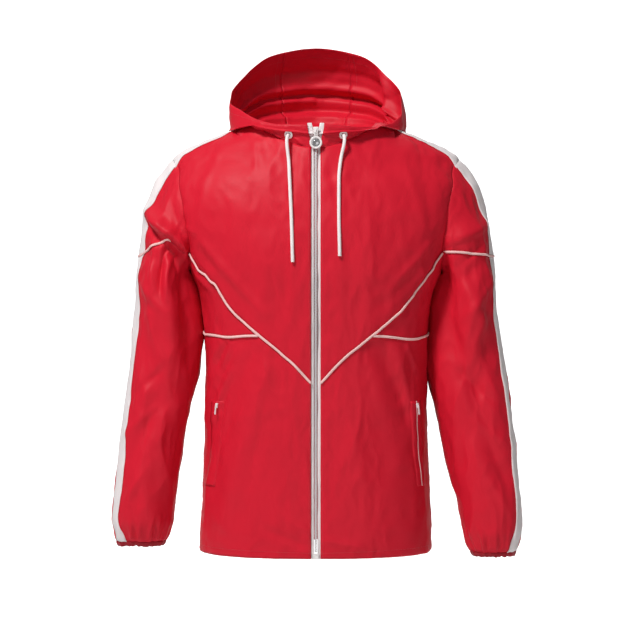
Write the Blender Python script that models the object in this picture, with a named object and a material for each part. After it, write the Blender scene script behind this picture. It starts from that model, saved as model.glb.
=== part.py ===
"""A hooded zip-front windbreaker, filled out as worn, with nobody inside.

Metres, +Z up. The front faces -Y and the wearer's left side is +X. The origin is the
centre of the neck, 14 mm below the points where the neck seam meets the shoulder seams.
Every cloth panel is a thin wall whose outer face is worked out from short section tables.
"""

import math

import bmesh
import bpy
import numpy as np

# ---- Driving sizes ----
HEM = -0.685  # height of the hem
WALL = 0.0015  # cloth wall
SEAM = 0.00025  # each panel stops this short of its seam
LIFT = 0.0003  # clear gap between neighbouring pieces
ZIP_EDGE = 0.0075  # the folded front edges stand this far from the centre line
NECK_SIDE = 0.098  # half width of the neck opening
NECK_TOP = 0.014  # height of its side points, where the shoulder seams start
NECK_FRONT = -0.036  # height of the neck seam at the centre front
SHOULDER_END = -0.048  # height of the shoulder seam's outer end
UNDERARM = -0.232
SIDE_MARK = -0.333  # where the level piping meets the side seam
TAPE_WIDTH = 0.024
BICEP = -0.270  # height of the ring that ends the sleeve cap
ARMHOLE_NOTCH = 125.0  # where piping meets the armhole, in degrees from its top
CUFF_HEIGHT = 0.009
LEFT, RIGHT = 1, -1
SIDE_NAME = {LEFT: "L", RIGHT: "R"}

RED = (0.60, 0.02, 0.04, 1.0)
DARK_RED = (0.36, 0.01, 0.02, 1.0)
WHITE = (0.88, 0.84, 0.84, 1.0)


def table(columns, *rows):
    """Rows of numbers under named columns."""
    return {name: np.array([row[i] for row in rows], float) for i, name in enumerate(columns.split())}


# Level sections of the body, from the hem up.
BODY = table(
    "height half_width front back roundness",
    (-0.685, 0.1900, 0.130, 0.124, 2.4),
    (-0.640, 0.1885, 0.131, 0.120, 2.4),
    (-0.580, 0.1860, 0.130, 0.116, 2.4),
    (-0.500, 0.1820, 0.128, 0.110, 2.4),
    (-0.400, 0.1810, 0.127, 0.107, 2.4),
    (-0.335, 0.1830, 0.129, 0.110, 2.4),
    (-0.270, 0.1920, 0.132, 0.116, 2.4),
    (-0.235, 0.2050, 0.134, 0.120, 2.4),
    (-0.200, 0.2170, 0.133, 0.122, 2.4),
    (-0.150, 0.2340, 0.127, 0.122, 2.4),
    (-0.100, 0.2400, 0.117, 0.116, 2.2),
    (-0.048, 0.2350, 0.103, 0.104, 1.5),
    (-0.031, 0.2130, 0.098, 0.097, 1.4),
    (-0.018, 0.1840, 0.094, 0.090, 1.4),
    (-0.006, 0.1550, 0.089, 0.082, 1.5),
    (0.006, 0.1220, 0.083, 0.074, 1.8),
    (NECK_TOP, 0.0980, 0.078, 0.068, 2.0),
)
# The armhole, by degrees round it from the shoulder: how far it lies from the side line.
ARMHOLE = table(
    "turn inward height",
    (0, 0.0, SHOULDER_END),
    (20, 8.0, -0.053),
    (45, 21.0, -0.078),
    (80, 30.5, -0.135),
    (105, 29.5, -0.172),
    (ARMHOLE_NOTCH, 24.3, -0.200),
    (150, 14.0, -0.222),
    (180, 0.0, UNDERARM),
)
# The neck seam, by distance from the centre line.
NECK_SEAM_FRONT = table(
    "across height", (0.0, -0.0365), (ZIP_EDGE, NECK_FRONT), (0.0485, -0.0235), (0.075, -0.010),
    (0.090, 0.001), (0.096, 0.008), (NECK_SIDE, NECK_TOP),
)
NECK_SEAM_BACK = table(
    "across height", (0.0, -0.004), (0.050, -0.002), (0.080, 0.004), (0.093, 0.009), (NECK_SIDE, NECK_TOP),
)
# The white piping on the front, from the zip up to the armhole.
DIAGONAL = table(
    "across height", (ZIP_EDGE, -0.402), (0.040, -0.374), (0.088, -0.335), (0.142, -0.288), (0.176, -0.240),
)
JUNCTION = 2  # the row of DIAGONAL where the level piping branches off
# Soft folds of the body: from one place to another, as degrees round from the front, and height.
BODY_FOLDS = table(
    "turn height end_turn end_height width depth",
    (30, -0.350, 50, -0.470, 0.018, -0.0060),
    (38, -0.345, 62, -0.500, 0.016, 0.0035),
    (-38, -0.345, -66, -0.555, 0.016, -0.0060),
    (-28, -0.400, -50, -0.640, 0.020, 0.0040),
    (-55, -0.345, -75, -0.470, 0.014, 0.0045),
    (14, -0.450, 20, -0.640, 0.024, 0.0030),
    (60, -0.215, 40, -0.290, 0.016, 0.0035),
    (-60, -0.215, -38, -0.300, 0.016, 0.0040),
    (150, -0.150, 172, -0.330, 0.022, -0.0050),
    (-150, -0.150, -170, -0.300, 0.022, -0.0050),
    (125, -0.300, 150, -0.560, 0.024, -0.0045),
    (-125, -0.320, -155, -0.600, 0.024, -0.0045),
)
# Level rings of each sleeve below its cap.
SLEEVE = {
    RIGHT: table(
        "height out half_width forward half_depth",
        (-0.666, 0.2825, 0.0400, 0.038, 0.033),
        (-0.655, 0.2820, 0.0430, 0.037, 0.040),
        (-0.630, 0.2815, 0.0500, 0.034, 0.051),
        (-0.569, 0.2735, 0.0508, 0.028, 0.057),
        (-0.503, 0.2660, 0.0510, 0.020, 0.062),
        (-0.438, 0.2565, 0.0550, 0.011, 0.066),
        (-0.346, 0.2437, 0.0581, 0.001, 0.070),
        (-0.300, 0.2430, 0.0541, 0.000, 0.072),
        (BICEP, 0.2450, 0.0496, 0.000, 0.072),
    ),
    LEFT: table(
        "height out half_width forward half_depth",
        (-0.683, 0.2870, 0.0370, 0.038, 0.033),
        (-0.674, 0.2865, 0.0400, 0.037, 0.040),
        (-0.648, 0.2855, 0.0480, 0.034, 0.051),
        (-0.595, 0.2790, 0.0545, 0.028, 0.057),
        (-0.543, 0.2710, 0.0570, 0.022, 0.062),
        (-0.490, 0.2630, 0.0600, 0.015, 0.066),
        (-0.438, 0.2547, 0.0623, 0.008, 0.069),
        (-0.400, 0.2475, 0.0635, 0.003, 0.070),
        (-0.346, 0.2441, 0.0594, 0.000, 0.071),
        (-0.300, 0.2430, 0.0545, 0.000, 0.072),
        (BICEP, 0.2452, 0.0496, 0.000, 0.072),
    ),
}
# Folds of each sleeve: degrees round from its outer line (the front is negative), and height.
SLEEVE_FOLDS = {
    RIGHT: table(
        "turn height end_turn end_height width depth",
        (-8, -0.132, -118, -0.196, 0.013, 0.0070),
        (-30, -0.196, -112, -0.232, 0.014, -0.0060),
        (-60, -0.250, -100, -0.330, 0.014, 0.0040),
        (-35, -0.280, -70, -0.400, 0.016, -0.0035),
        (-120, -0.420, -60, -0.520, 0.018, -0.0040),
        (60, -0.330, 130, -0.400, 0.018, -0.0050),
        (50, -0.430, 120, -0.360, 0.016, 0.0040),
        (70, -0.500, 140, -0.560, 0.018, -0.0040),
    ),
    LEFT: table(
        "turn height end_turn end_height width depth",
        (-20, -0.150, -115, -0.184, 0.013, 0.0045),
        (-50, -0.215, -115, -0.250, 0.014, -0.0050),
        (-70, -0.270, -110, -0.390, 0.015, 0.0040),
        (-45, -0.300, -80, -0.430, 0.016, -0.0040),
        (-110, -0.470, -55, -0.560, 0.018, -0.0040),
        (60, -0.330, 130, -0.400, 0.018, -0.0050),
        (50, -0.430, 120, -0.360, 0.016, 0.0040),
        (70, -0.500, 140, -0.560, 0.018, -0.0040),
    ),
}
# How the back edge of the striped tape moves forward down the sleeve cap.
TAPE_TURN = table("fall turn", (0.0, 0.0), (0.3, 5.0), (0.7, -4.0), (1.0, -15.0), (2.0, -20.0))
# The hood, by degrees round the neck from the front: its rim, and how each rib leaves seam and rim.
HOOD = table(
    "turn across back height low_out low_up high_out high_down",
    (0, 0.0100, -0.1000, 0.0000, 0.001, 0.012, 0.001, 0.012),
    (4, 0.0130, -0.1000, 0.0000, 0.001, 0.012, 0.001, 0.012),
    (30, 0.0500, -0.0940, 0.0006, 0.003, 0.008, 0.002, 0.008),
    (55, 0.0898, -0.0700, 0.0100, 0.012, 0.002, 0.007, 0.012),
    (75, 0.1235, -0.0350, 0.0310, 0.034, 0.005, 0.008, 0.022),
    (90, 0.1420, 0.0000, 0.0470, 0.050, -0.002, 0.004, 0.028),
    (110, 0.1420, 0.0450, 0.0680, 0.054, -0.004, 0.008, 0.042),
    (130, 0.1235, 0.0850, 0.1000, 0.062, 0.000, 0.022, 0.058),
    (155, 0.0750, 0.1130, 0.1410, 0.092, 0.014, 0.050, 0.065),
    (180, 0.0000, 0.1220, 0.1550, 0.112, 0.018, 0.065, 0.062),
    (205, -0.0750, 0.1130, 0.1410, 0.092, 0.014, 0.050, 0.065),
)
HOOD_CENTRE_TURN = 163.0  # where the middle strip of the hood begins
# Level folds across the back of the hood, by share of the way up.
HOOD_FOLDS = table("rise width depth", (0.38, 0.045, -0.008), (0.55, 0.045, 0.006), (0.68, 0.04, -0.007), (0.82, 0.035, 0.003))

# The zip: its parts by height, half width, and depth from the front's outer face (out is positive).
ZIP_TOP = 0.003
ZIP = table(
    "low high half_width inner outer",
    (HEM, ZIP_TOP, 0.0150, -0.0032, -0.0022),  # tapes, seen between the front edges
    (-0.6757, -0.0191, 0.0026, -0.0029, -0.0005),  # chain of teeth
    (HEM, -0.6760, 0.0045, -0.0015, 0.0020),  # box at the hem
    (-0.0188, -0.0042, 0.0043, -0.0015, 0.0022),  # slider
)
ZIP_TAPES, ZIP_CHAIN, ZIP_BOX, ZIP_SLIDER = range(4)
TAPE_INNER_EDGE = 0.0029
TAPE_FLARE = table("height inner outer", (-0.012, TAPE_INNER_EDGE, 0.0150), (ZIP_TOP, 0.0064, 0.0135))
# The zip pull, from its bar's centre: how far it hangs down.
PULL_BAR_LIFT = 0.0011  # the bar's centre over the slider's face
PULL_THICKNESS = 0.0012
PULL_RING_CENTRE, PULL_RING_RADIUS, PULL_DISC_RADIUS = 0.0176, 0.0100, 0.0070
# Places of the slider on the front's pocket zips.
POCKET_SLIDER = (0.0050, 0.0080, 0.0025)
POCKET_PULL = (0.0030, 0.0140, 0.0010)
# Eyelets on the hood's front, and the cords that hang from them down the chest.
EYELET_TURN, EYELET_RISE = 25.7, 0.38
EYELET_OUTER, EYELET_INNER, EYELET_THICK = 0.0070, 0.0035, 0.0015
CORD_RADIUS = 0.00275
CORD_DROP, CORD_BEND = 0.006, 0.016  # where it meets the chest, and how wide it bends
CORD = {
    RIGHT: table("across height", (0.0425, -0.056), (0.0405, -0.100), (0.0378, -0.160), (0.0360, -0.2195)),
    LEFT: table("across height", (0.0395, -0.052), (0.0362, -0.085), (0.0360, -0.140), (0.0373, -0.2100)),
}

# How many faces each stretch of seam has, so that neighbours share their points.
CENTRE_TO_JUNCTION = 5
JUNCTION_TO_SIDE = 5
HEM_TO_MARK = 13
MARK_TO_UNDERARM = 5
UNDERARM_TO_NOTCH = 5
NOTCH_TO_TOP = 10
NECK_PARTS = 5
SHOULDER_PARTS = 5
BACK_NECK_PARTS = 8
TAPE_PARTS = 2
BACK_NOTCH = 22  # column of the sleeve that meets the back armhole's notch
SLEEVE_COLUMNS = 26
CAP_ROWS = 5
LOWER_CAP_ROWS = 2
HOOD_ROWS = 9
POCKET_ROWS = (4, 9)  # rows of the lower front that the pocket zip spans
POCKET_COLUMN = 7


def ease(at, knots, values):
    """A smooth curve through the values, with no overshoot between them."""
    at = np.asarray(at, float)
    step = np.diff(knots)
    slope = np.diff(values) / step
    product = slope[:-1] * slope[1:]
    total = np.where(np.abs(slope[:-1] + slope[1:]) < 1e-12, 1.0, slope[:-1] + slope[1:])
    inner = np.where(product > 0, 2 * product / total, 0.0)
    tangent = np.concatenate([slope[:1], inner, slope[-1:]])
    i = np.clip(np.searchsorted(knots, at, side="right") - 1, 0, len(step) - 1)
    t = np.clip((at - knots[i]) / step[i], 0.0, 1.0)
    start, end = values[i], values[i + 1]
    lead = (t**3 - 2 * t**2 + t) * tangent[i] * step[i]
    trail = (t**3 - t**2) * tangent[i + 1] * step[i]
    return (2 * t**3 - 3 * t**2 + 1) * start + lead + (3 * t**2 - 2 * t**3) * end + trail


def unit(vectors):
    length = np.linalg.norm(vectors, axis=-1, keepdims=True)
    return vectors / np.where(length < 1e-12, 1.0, length)


def evenly(points, count):
    """The polyline again, as count equal steps."""
    along = np.concatenate([[0], np.cumsum(np.linalg.norm(np.diff(points, axis=0), axis=1))])
    at = np.linspace(0, along[-1], count + 1)
    return np.stack([np.interp(at, along, points[:, k]) for k in range(points.shape[1])], axis=1)


def fold_depth(folds, across, height, reach):
    """How far the folds raise the cloth at a place; across is in degrees, reach its radius."""
    total = np.zeros(np.broadcast(across, height).shape)
    for i in range(len(folds["turn"])):
        start = np.array([math.radians(folds["turn"][i]) * reach, folds["height"][i]])
        end = np.array([math.radians(folds["end_turn"][i]) * reach, folds["end_height"][i]])
        run = end - start
        dx, dz = np.radians(across) * reach - start[0], height - start[1]
        share = (dx * run[0] + dz * run[1]) / (run @ run)
        kept = np.clip(share, 0, 1)
        away = np.hypot(dx - kept * run[0], dz - kept * run[1])
        swell = 0.35 + 0.65 * np.sin(np.pi * np.clip(0.15 + 0.8 * share, 0, 1))
        total = total + folds["depth"][i] * swell * np.exp(-((away / folds["width"][i]) ** 2))
    return total


# ---- The body's surface ----
def section(height):
    return [ease(height, BODY["height"], BODY[c]) for c in ("half_width", "front", "back", "roundness")]


def body_bare(turn, height):
    """The body without folds, at degrees round from the front and a height."""
    turn, height = np.broadcast_arrays(np.asarray(turn, float), np.asarray(height, float))
    half_width, front, back, roundness = section(height)
    s, c = np.sin(np.radians(turn)), np.cos(np.radians(turn))
    reach = (np.abs(s) ** roundness + np.abs(c) ** roundness) ** (-1 / roundness)
    depth = np.where(c > 0, front, back)
    return np.stack([reach * half_width * s, -reach * depth * c, height], axis=-1)


def body_normal(turn, height):
    height = np.minimum(height, NECK_TOP - 0.0008)
    across = body_bare(turn + 0.25, height) - body_bare(turn - 0.25, height)
    up = body_bare(turn, height + 0.0005) - body_bare(turn, height - 0.0005)
    return unit(np.cross(across, up))


def body_point(turn, height):
    """A place on the body's outer face, and its outward normal."""
    turn, height = np.broadcast_arrays(np.asarray(turn, float), np.asarray(height, float))
    normal = body_normal(turn, height)
    rise = fold_depth(BODY_FOLDS, turn, height, 0.16)
    return body_bare(turn, height) + normal * rise[..., None], normal


def turn_at(across, height, front=True):
    """The degrees round from the front at which the body is that far from the centre line."""
    half_width, _, _, roundness = section(height)
    share = np.clip(np.abs(across) / half_width, 0, 1) ** roundness
    turn = np.degrees(np.arctan2(share ** (1 / roundness), (1 - share) ** (1 / roundness)))
    return turn if front else 180 - turn


def turn_of(points):
    """Degrees round from the front of points that lie near the body."""
    half_width, front, back, _ = section(points[..., 2])
    depth = np.where(points[..., 1] < 0, front, back)
    return np.degrees(np.arctan2(points[..., 0] / half_width, -points[..., 1] / depth))


def neck_seam(turn):
    """The neck seam's place, as (body turn, height), at degrees round the neck."""
    across = NECK_SIDE * np.sin(np.radians(turn))
    front_height = ease(across, NECK_SEAM_FRONT["across"], NECK_SEAM_FRONT["height"])
    back_height = ease(across, NECK_SEAM_BACK["across"], NECK_SEAM_BACK["height"])
    front = turn <= 90
    height = np.where(front, front_height, back_height)
    body_turn = np.where(front, turn_at(across, height), turn_at(across, height, False))
    return body_turn, height


def armhole(turn):
    """The armhole's place, as (body turn, height), at degrees round it from the shoulder."""
    inward = ease(np.abs(turn), ARMHOLE["turn"], ARMHOLE["inward"])
    height = ease(np.abs(turn), ARMHOLE["turn"], ARMHOLE["height"])
    return 90 + np.sign(turn) * inward, height


# ---- Seam lines, each as bare points on the wearer's left ----
def side_line(start, end, count):
    return body_bare(90.0, np.linspace(start, end, count + 1))


def centre_line(start, end, count, last_steps=0, last_step=TAPE_WIDTH / TAPE_PARTS):
    """The front edge upwards; the last steps may have a length of their own."""
    kept = end - last_steps * last_step
    heights = np.linspace(start, kept, count - last_steps + 1)
    heights = np.concatenate([heights, np.linspace(kept, end, last_steps + 1)[1:]])
    return body_bare(turn_at(ZIP_EDGE, heights), heights)


def hem_line(shares):
    return body_bare(turn_at(ZIP_EDGE, HEM) + shares * (90 - turn_at(ZIP_EDGE, HEM)), HEM)


def diagonal_line():
    """From the zip to the junction, and from there to the armhole."""
    across = np.append(DIAGONAL["across"], armhole_line()[UNDERARM_TO_NOTCH, 0])
    height = np.append(DIAGONAL["height"], armhole(np.array(-ARMHOLE_NOTCH))[1])
    fine = np.linspace(across[0], across[-1], 400)
    heights = ease(fine, across, height)
    points = body_bare(turn_at(fine, heights), heights)
    split = int(np.searchsorted(fine, across[JUNCTION]))
    lower = evenly(points[: split + 1], CENTRE_TO_JUNCTION)
    upper = evenly(points[split:], MARK_TO_UNDERARM)
    upper[-1] = armhole_line()[UNDERARM_TO_NOTCH]
    return lower, upper


def level_line():
    """From the junction to the side seam, with a narrow step where the pocket zip runs."""
    start = diagonal_line()[1][0]
    turns = turn_of(start) + np.array([0, 0.26, 0.36, 0.43, 0.70, 1.0]) * (90 - turn_of(start))
    heights = start[2] + np.linspace(0, 1, JUNCTION_TO_SIDE + 1) * (SIDE_MARK - start[2])
    return body_bare(turns, heights)


def neck_line(start, end, count):
    return body_bare(*neck_seam(np.linspace(start, end, count + 1)))


def shoulder_line():
    """From the neck to the armhole, along the top."""
    return evenly(body_bare(90.0, np.linspace(NECK_TOP, SHOULDER_END, 300)), SHOULDER_PARTS)


def with_tape_rows(grid):
    """The upper front's grid, its last rows laid straight beside the shoulder seam."""
    out = grid.copy()
    levels = np.linspace(NECK_TOP - 0.0002, -0.11, 500)
    half_width, front, _, roundness = section(levels)
    ridge = shoulder_line()
    for row in range(1, TAPE_PARTS + 1):
        ahead = grid[-1 - row, -1, 1]
        for part, slant in zip(range(SHOULDER_PARTS), (0.011, 0.007, 0.003, 0.0, 0.0)):
            across = ridge[part, 0] + slant * row
            filled = (across / half_width) ** roundness + (-ahead / front) ** roundness
            height = np.interp(-1.0, -filled, levels)
            out[-1 - row, NECK_PARTS + part] = (across, ahead, height)
    return out


# ---- The sleeve's surface ----
def ring(side, turn, height):
    """A place on the sleeve's rings, at degrees round from its outer line."""
    rows = SLEEVE[side]
    out, half_width, forward, half_depth = [
        ease(height, rows["height"], rows[c]) for c in ("out", "half_width", "forward", "half_depth")
    ]
    nudge = 0.01
    lean_out = (ease(height + nudge, rows["height"], rows["out"]) - ease(height - nudge, rows["height"], rows["out"])) / (2 * nudge)
    s, c = np.sin(np.radians(turn)), np.cos(np.radians(turn))
    return np.stack(
        [side * (out + half_width * c), -forward + half_depth * s, height - half_width * c * lean_out * 0.8],
        axis=-1,
    )


def cuff_level(side):
    return SLEEVE[side]["height"][0]


def sleeve_bare(side, turn, fall):
    """The sleeve without folds: fall is 0 at the armhole, 1 below the cap and 2 at its end."""
    turn, fall = np.broadcast_arrays(np.asarray(turn, float), np.asarray(fall, float))
    below = BICEP + np.clip(fall - 1, 0, 1) * (cuff_level(side) - BICEP)
    lower = ring(side, turn, below)
    start = body_bare(*armhole(turn)) * np.array([side, 1, 1])
    end = ring(side, turn, np.full(turn.shape, BICEP))
    reach = np.linalg.norm(end - start, axis=-1, keepdims=True)
    drop = np.radians(np.interp(np.abs(turn), [0, 60, 90, 180], [40, 48, 55, 70]))
    leave = np.stack([side * np.cos(drop), np.zeros(turn.shape), -np.sin(drop)], axis=-1) * 0.87 * reach
    arrive = unit(ring(side, turn, np.full(turn.shape, BICEP - 0.02)) - end) * 1.09 * reach
    t = np.clip(fall, 0, 1)[..., None]
    cap = (
        (2 * t**3 - 3 * t**2 + 1) * start
        + (t**3 - 2 * t**2 + t) * leave
        + (3 * t**2 - 2 * t**3) * end
        + (t**3 - t**2) * arrive
    )
    cap = cap + unit(leave) * 2 * SEAM * (1 - t)
    return np.where(fall[..., None] > 1, lower, cap)


def sleeve_normal(side, turn, fall):
    fall = np.clip(fall, 0.01, 1.99)
    across = sleeve_bare(side, turn + 0.5, fall) - sleeve_bare(side, turn - 0.5, fall)
    along = sleeve_bare(side, turn, fall + 0.004) - sleeve_bare(side, turn, fall - 0.004)
    return unit(np.cross(across, along)) * -side


def sleeve_point(side, turn, fall):
    turn, fall = np.broadcast_arrays(np.asarray(turn, float), np.asarray(fall, float))
    bare, normal = sleeve_bare(side, turn, fall), sleeve_normal(side, turn, fall)
    fade = np.clip(fall / 0.15, 0, 1)
    rise = fold_depth(SLEEVE_FOLDS[side], turn, bare[..., 2], 0.062) * fade
    return bare + normal * rise[..., None], normal


def columns(side, fall):
    """Degrees round the sleeve of its grid's columns; three of them carry the tape."""
    back_edge = float(ease(fall, TAPE_TURN["fall"], TAPE_TURN["turn"]))
    middle = back_edge
    for _ in range(4):
        pace = np.linalg.norm(sleeve_bare(side, middle + 0.5, fall) - sleeve_bare(side, middle - 0.5, fall))
        middle = back_edge - TAPE_WIDTH / 2 / float(pace)
    front_edge = 2 * middle - back_edge
    top = UNDERARM_TO_NOTCH + NOTCH_TO_TOP
    anchors = [0, UNDERARM_TO_NOTCH, top - TAPE_PARTS, top - 1, top, BACK_NOTCH, SLEEVE_COLUMNS]
    turns = [-180, -ARMHOLE_NOTCH, front_edge, middle, back_edge, ARMHOLE_NOTCH, 180]
    return np.interp(np.arange(SLEEVE_COLUMNS + 1), anchors, turns)


def armhole_line():
    return body_bare(*armhole(columns(LEFT, 0.0)))


def notch_falls(side, turns):
    """How far down the cap the sleeve's level piping crosses each column."""
    steps = np.linspace(0, 1, 80)
    heights = sleeve_bare(side, turns[:, None], steps[None, :])[..., 2]
    level = -0.200 - 0.006 * np.cos(np.radians(turns) / 1.6) ** 2
    falls = [np.interp(-lv, -hs, steps) for lv, hs in zip(level, heights)]
    return np.where(np.abs(turns) >= ARMHOLE_NOTCH - 1e-6, 0.0, np.array(falls))


def sleeve_grids(side):
    """Turns and falls of the upper sleeve's grid and of the lower one's."""
    seam_turns = columns(side, 0.6)
    for _ in range(3):
        seam_falls = notch_falls(side, seam_turns)
        middle = float(seam_falls[UNDERARM_TO_NOTCH + NOTCH_TO_TOP - 1])
        seam_turns = columns(side, middle)
    top_turns = columns(side, 0.0)
    over = slice(UNDERARM_TO_NOTCH, BACK_NOTCH + 1)
    shares = np.linspace(0, 1, CAP_ROWS + 1)[:, None]
    upper = (
        top_turns[over] + shares * (seam_turns - top_turns)[over],
        shares * seam_falls[over],
    )
    start_turns = seam_turns.copy()
    outside = np.ones(SLEEVE_COLUMNS + 1, bool)
    outside[over] = False
    start_turns[outside] = top_turns[outside]
    shares = np.linspace(0, 1, LOWER_CAP_ROWS + 2)[:, None]
    ring_turns = columns(side, 1.0)
    turns = start_turns + shares * (ring_turns - start_turns)
    falls = seam_falls + shares * (1 - seam_falls)
    tube_falls = 1 + np.array([0.09, 0.18, 0.27, 0.36, 0.45, 0.54, 0.63, 0.72, 0.80, 0.87, 0.92, 0.96, 1.0])
    turns = np.vstack([turns, [columns(side, f) for f in tube_falls]])
    falls = np.vstack([falls, np.repeat(tube_falls[:, None], SLEEVE_COLUMNS + 1, axis=1)])
    return upper, (turns, falls)


# ---- The hood's surface ----
def hood_bare(side, turn, rise):
    turn, rise = np.broadcast_arrays(np.asarray(turn, float), np.asarray(rise, float))
    row = {name: ease(turn, HOOD["turn"], HOOD[name]) for name in HOOD if name != "turn"}
    seam = body_bare(*neck_seam(turn)) + np.array([0, 0, 2 * SEAM])
    rim = np.stack([row["across"], row["back"], row["height"]], axis=-1)
    out = np.stack([np.sin(np.radians(turn)), -np.cos(np.radians(turn)), np.zeros(turn.shape)], axis=-1)
    up = np.array([0, 0, 1.0])
    low = seam + out * row["low_out"][..., None] + up * row["low_up"][..., None]
    high = rim + out * row["high_out"][..., None] - up * row["high_down"][..., None]
    t = rise[..., None]
    point = (1 - t) ** 3 * seam + 3 * (1 - t) ** 2 * t * low + 3 * (1 - t) * t**2 * high + t**3 * rim
    return point * np.array([side, 1, 1])


def hood_point(side, turn, rise):
    turn, rise = np.broadcast_arrays(np.asarray(turn, float), np.asarray(rise, float))
    near_turn, near_rise = np.clip(turn, 0.6, 179.4), np.clip(rise, 0.02, 0.98)
    across = hood_bare(side, near_turn + 0.5, near_rise) - hood_bare(side, near_turn - 0.5, near_rise)
    up = hood_bare(side, near_turn, near_rise + 0.01) - hood_bare(side, near_turn, near_rise - 0.01)
    normal = unit(np.cross(across, up)) * side
    at_back = np.clip((turn - 85) / 50, 0, 1) ** 2
    depth = np.zeros(turn.shape)
    for middle, width, size in zip(*(HOOD_FOLDS[c] for c in ("rise", "width", "depth"))):
        depth = depth + size * np.exp(-(((rise - middle) / width) ** 2))
    return hood_bare(side, turn, rise) + normal * (depth * at_back)[..., None], normal


# ---- Building ----
def material(name, colour, roughness, metallic=0.0):
    made = bpy.data.materials.new(name)
    made.use_nodes = True
    shader = made.node_tree.nodes["Principled BSDF"]
    shader.inputs["Base Color"].default_value = colour
    shader.inputs["Roughness"].default_value = roughness
    shader.inputs["Metallic"].default_value = metallic
    return made


def add(name, mesh, finish):
    thing = bpy.data.objects.new(name, mesh)
    bpy.context.scene.collection.objects.link(thing)
    if finish:
        mesh.materials.append(finish)
    return thing


def solid(name, points, faces, finish, crease=50.0):
    """One closed body from points and faces; points that coincide are made one."""
    keys, index = {}, []
    for point in points:
        key = tuple(np.round(point, 7))
        index.append(keys.setdefault(key, len(keys)))
    kept = []
    for face in faces:
        corners = []
        for corner in (index[i] for i in face):
            if corner not in corners:
                corners.append(corner)
        if len(corners) > 2:
            kept.append(corners)
    mesh = bpy.data.meshes.new(name)
    mesh.from_pydata([list(key) for key in keys], [], kept)
    work = bmesh.new()
    work.from_mesh(mesh)
    bmesh.ops.recalc_face_normals(work, faces=work.faces[:])
    work.to_mesh(mesh)
    work.free()
    mesh.shade_smooth()
    mesh.set_sharp_from_angle(angle=math.radians(crease))
    return add(name, mesh, finish)


def wall(name, outer, normals, finish, thick=WALL, loop=False):
    """A wall of cloth whose outer face is the grid; a looped one is a tube."""
    rows, cols = outer.shape[:2]
    inner = outer - normals * thick
    if loop:
        cols -= 1
        outer, inner = outer[:, :-1], inner[:, :-1]
    points = np.concatenate([outer.reshape(-1, 3), inner.reshape(-1, 3)])
    half = rows * cols
    across = range(cols if loop else cols - 1)
    faces = []
    for r in range(rows - 1):
        for c in across:
            d = (c + 1) % cols
            corners = [r * cols + c, r * cols + d, (r + 1) * cols + d, (r + 1) * cols + c]
            for a, b, e in ((0, 1, 2), (0, 2, 3)):
                faces.append([corners[a], corners[b], corners[e]])
                faces.append([corners[e] + half, corners[b] + half, corners[a] + half])
    for r in (0, rows - 1):
        for c in across:
            a, b = r * cols + c, r * cols + (c + 1) % cols
            faces.append([a, b, b + half, a + half])
    if not loop:
        for c in (0, cols - 1):
            for r in range(rows - 1):
                a, b = r * cols + c, (r + 1) * cols + c
                faces.append([a, b, b + half, a + half])
    return solid(name, points, faces, finish)


def drawn_in(grid, loop=False, tips=False, gap=SEAM):
    """The grid with its edges pulled back from the seams."""
    out = grid.copy()
    out[0] += unit(grid[1] - grid[0]) * gap
    out[-1] += unit(grid[-2] - grid[-1]) * gap
    if tips:
        for end, near in ((0, 1), (-1, -2)):
            out[:, end] = grid[0, end] + unit(out[:, near].mean(axis=0) - grid[0, end]) * 6 * gap
    elif not loop:
        out[:, 0] += unit(grid[:, 1] - grid[:, 0]) * gap
        out[:, -1] += unit(grid[:, -2] - grid[:, -1]) * gap
    return out


def patch(bottom, right, top, left):
    """A grid between four seam lines that meet at their ends."""
    u = np.linspace(0, 1, len(bottom))[None, :, None]
    v = np.linspace(0, 1, len(left))[:, None, None]
    ruled = (1 - v) * bottom[None] + v * top[None] + (1 - u) * left[:, None] + u * right[:, None]
    corners = (1 - u) * (1 - v) * bottom[0] + u * (1 - v) * bottom[-1] + (1 - u) * v * top[0] + u * v * top[-1]
    grid = ruled - corners
    grid[0], grid[-1], grid[:, 0], grid[:, -1] = bottom, top, left, right
    return grid


def on_body(grid, side):
    """A bare grid of the left side, laid on the folded body on the given side, pulled in at its seams."""
    grid = drawn_in(grid)
    return body_point(turn_of(grid) * side, grid[..., 2])


def moved(points, normals, distance):
    return points + normals * distance


def layer(name, points, normals, low, high, finish, loop=False):
    """A thin layer between two heights over a surface."""
    return wall(name, moved(points, normals, high), normals, finish, high - low, loop)


def bead(name, points, normals, finish, width=0.0038, height=0.0020, lift=0.0007):
    """Piping along a seam: a half-round bead made from the seam's points, moved out."""
    along = unit(np.gradient(points, axis=0))
    across = unit(np.cross(along, normals))
    profile = [(-0.5, 0.0), (-0.42, 0.6), (0.0, 1.0), (0.42, 0.6), (0.5, 0.0)]
    rings = [points + across * width * a + normals * (lift + height * b) for a, b in profile]
    body = np.stack(rings, axis=1)
    count, sides = body.shape[:2]
    faces = [list(range(sides)), [(count - 1) * sides + i for i in reversed(range(sides))]]
    for r in range(count - 1):
        for c in range(sides):
            d = (c + 1) % sides
            faces.append([r * sides + c, (r + 1) * sides + c, (r + 1) * sides + d, r * sides + d])
    return solid(name, body.reshape(-1, 3), faces, finish)


def trimmed(points, start, end):
    """The line without the given lengths at its ends."""
    along = np.concatenate([[0], np.cumsum(np.linalg.norm(np.diff(points, axis=0), axis=1))])
    inside = (along > start + 0.001) & (along < along[-1] - end - 0.001)
    at = np.concatenate([[start], along[inside], [along[-1] - end]])
    return np.stack([np.interp(at, along, points[:, k]) for k in range(3)], axis=1)


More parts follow.
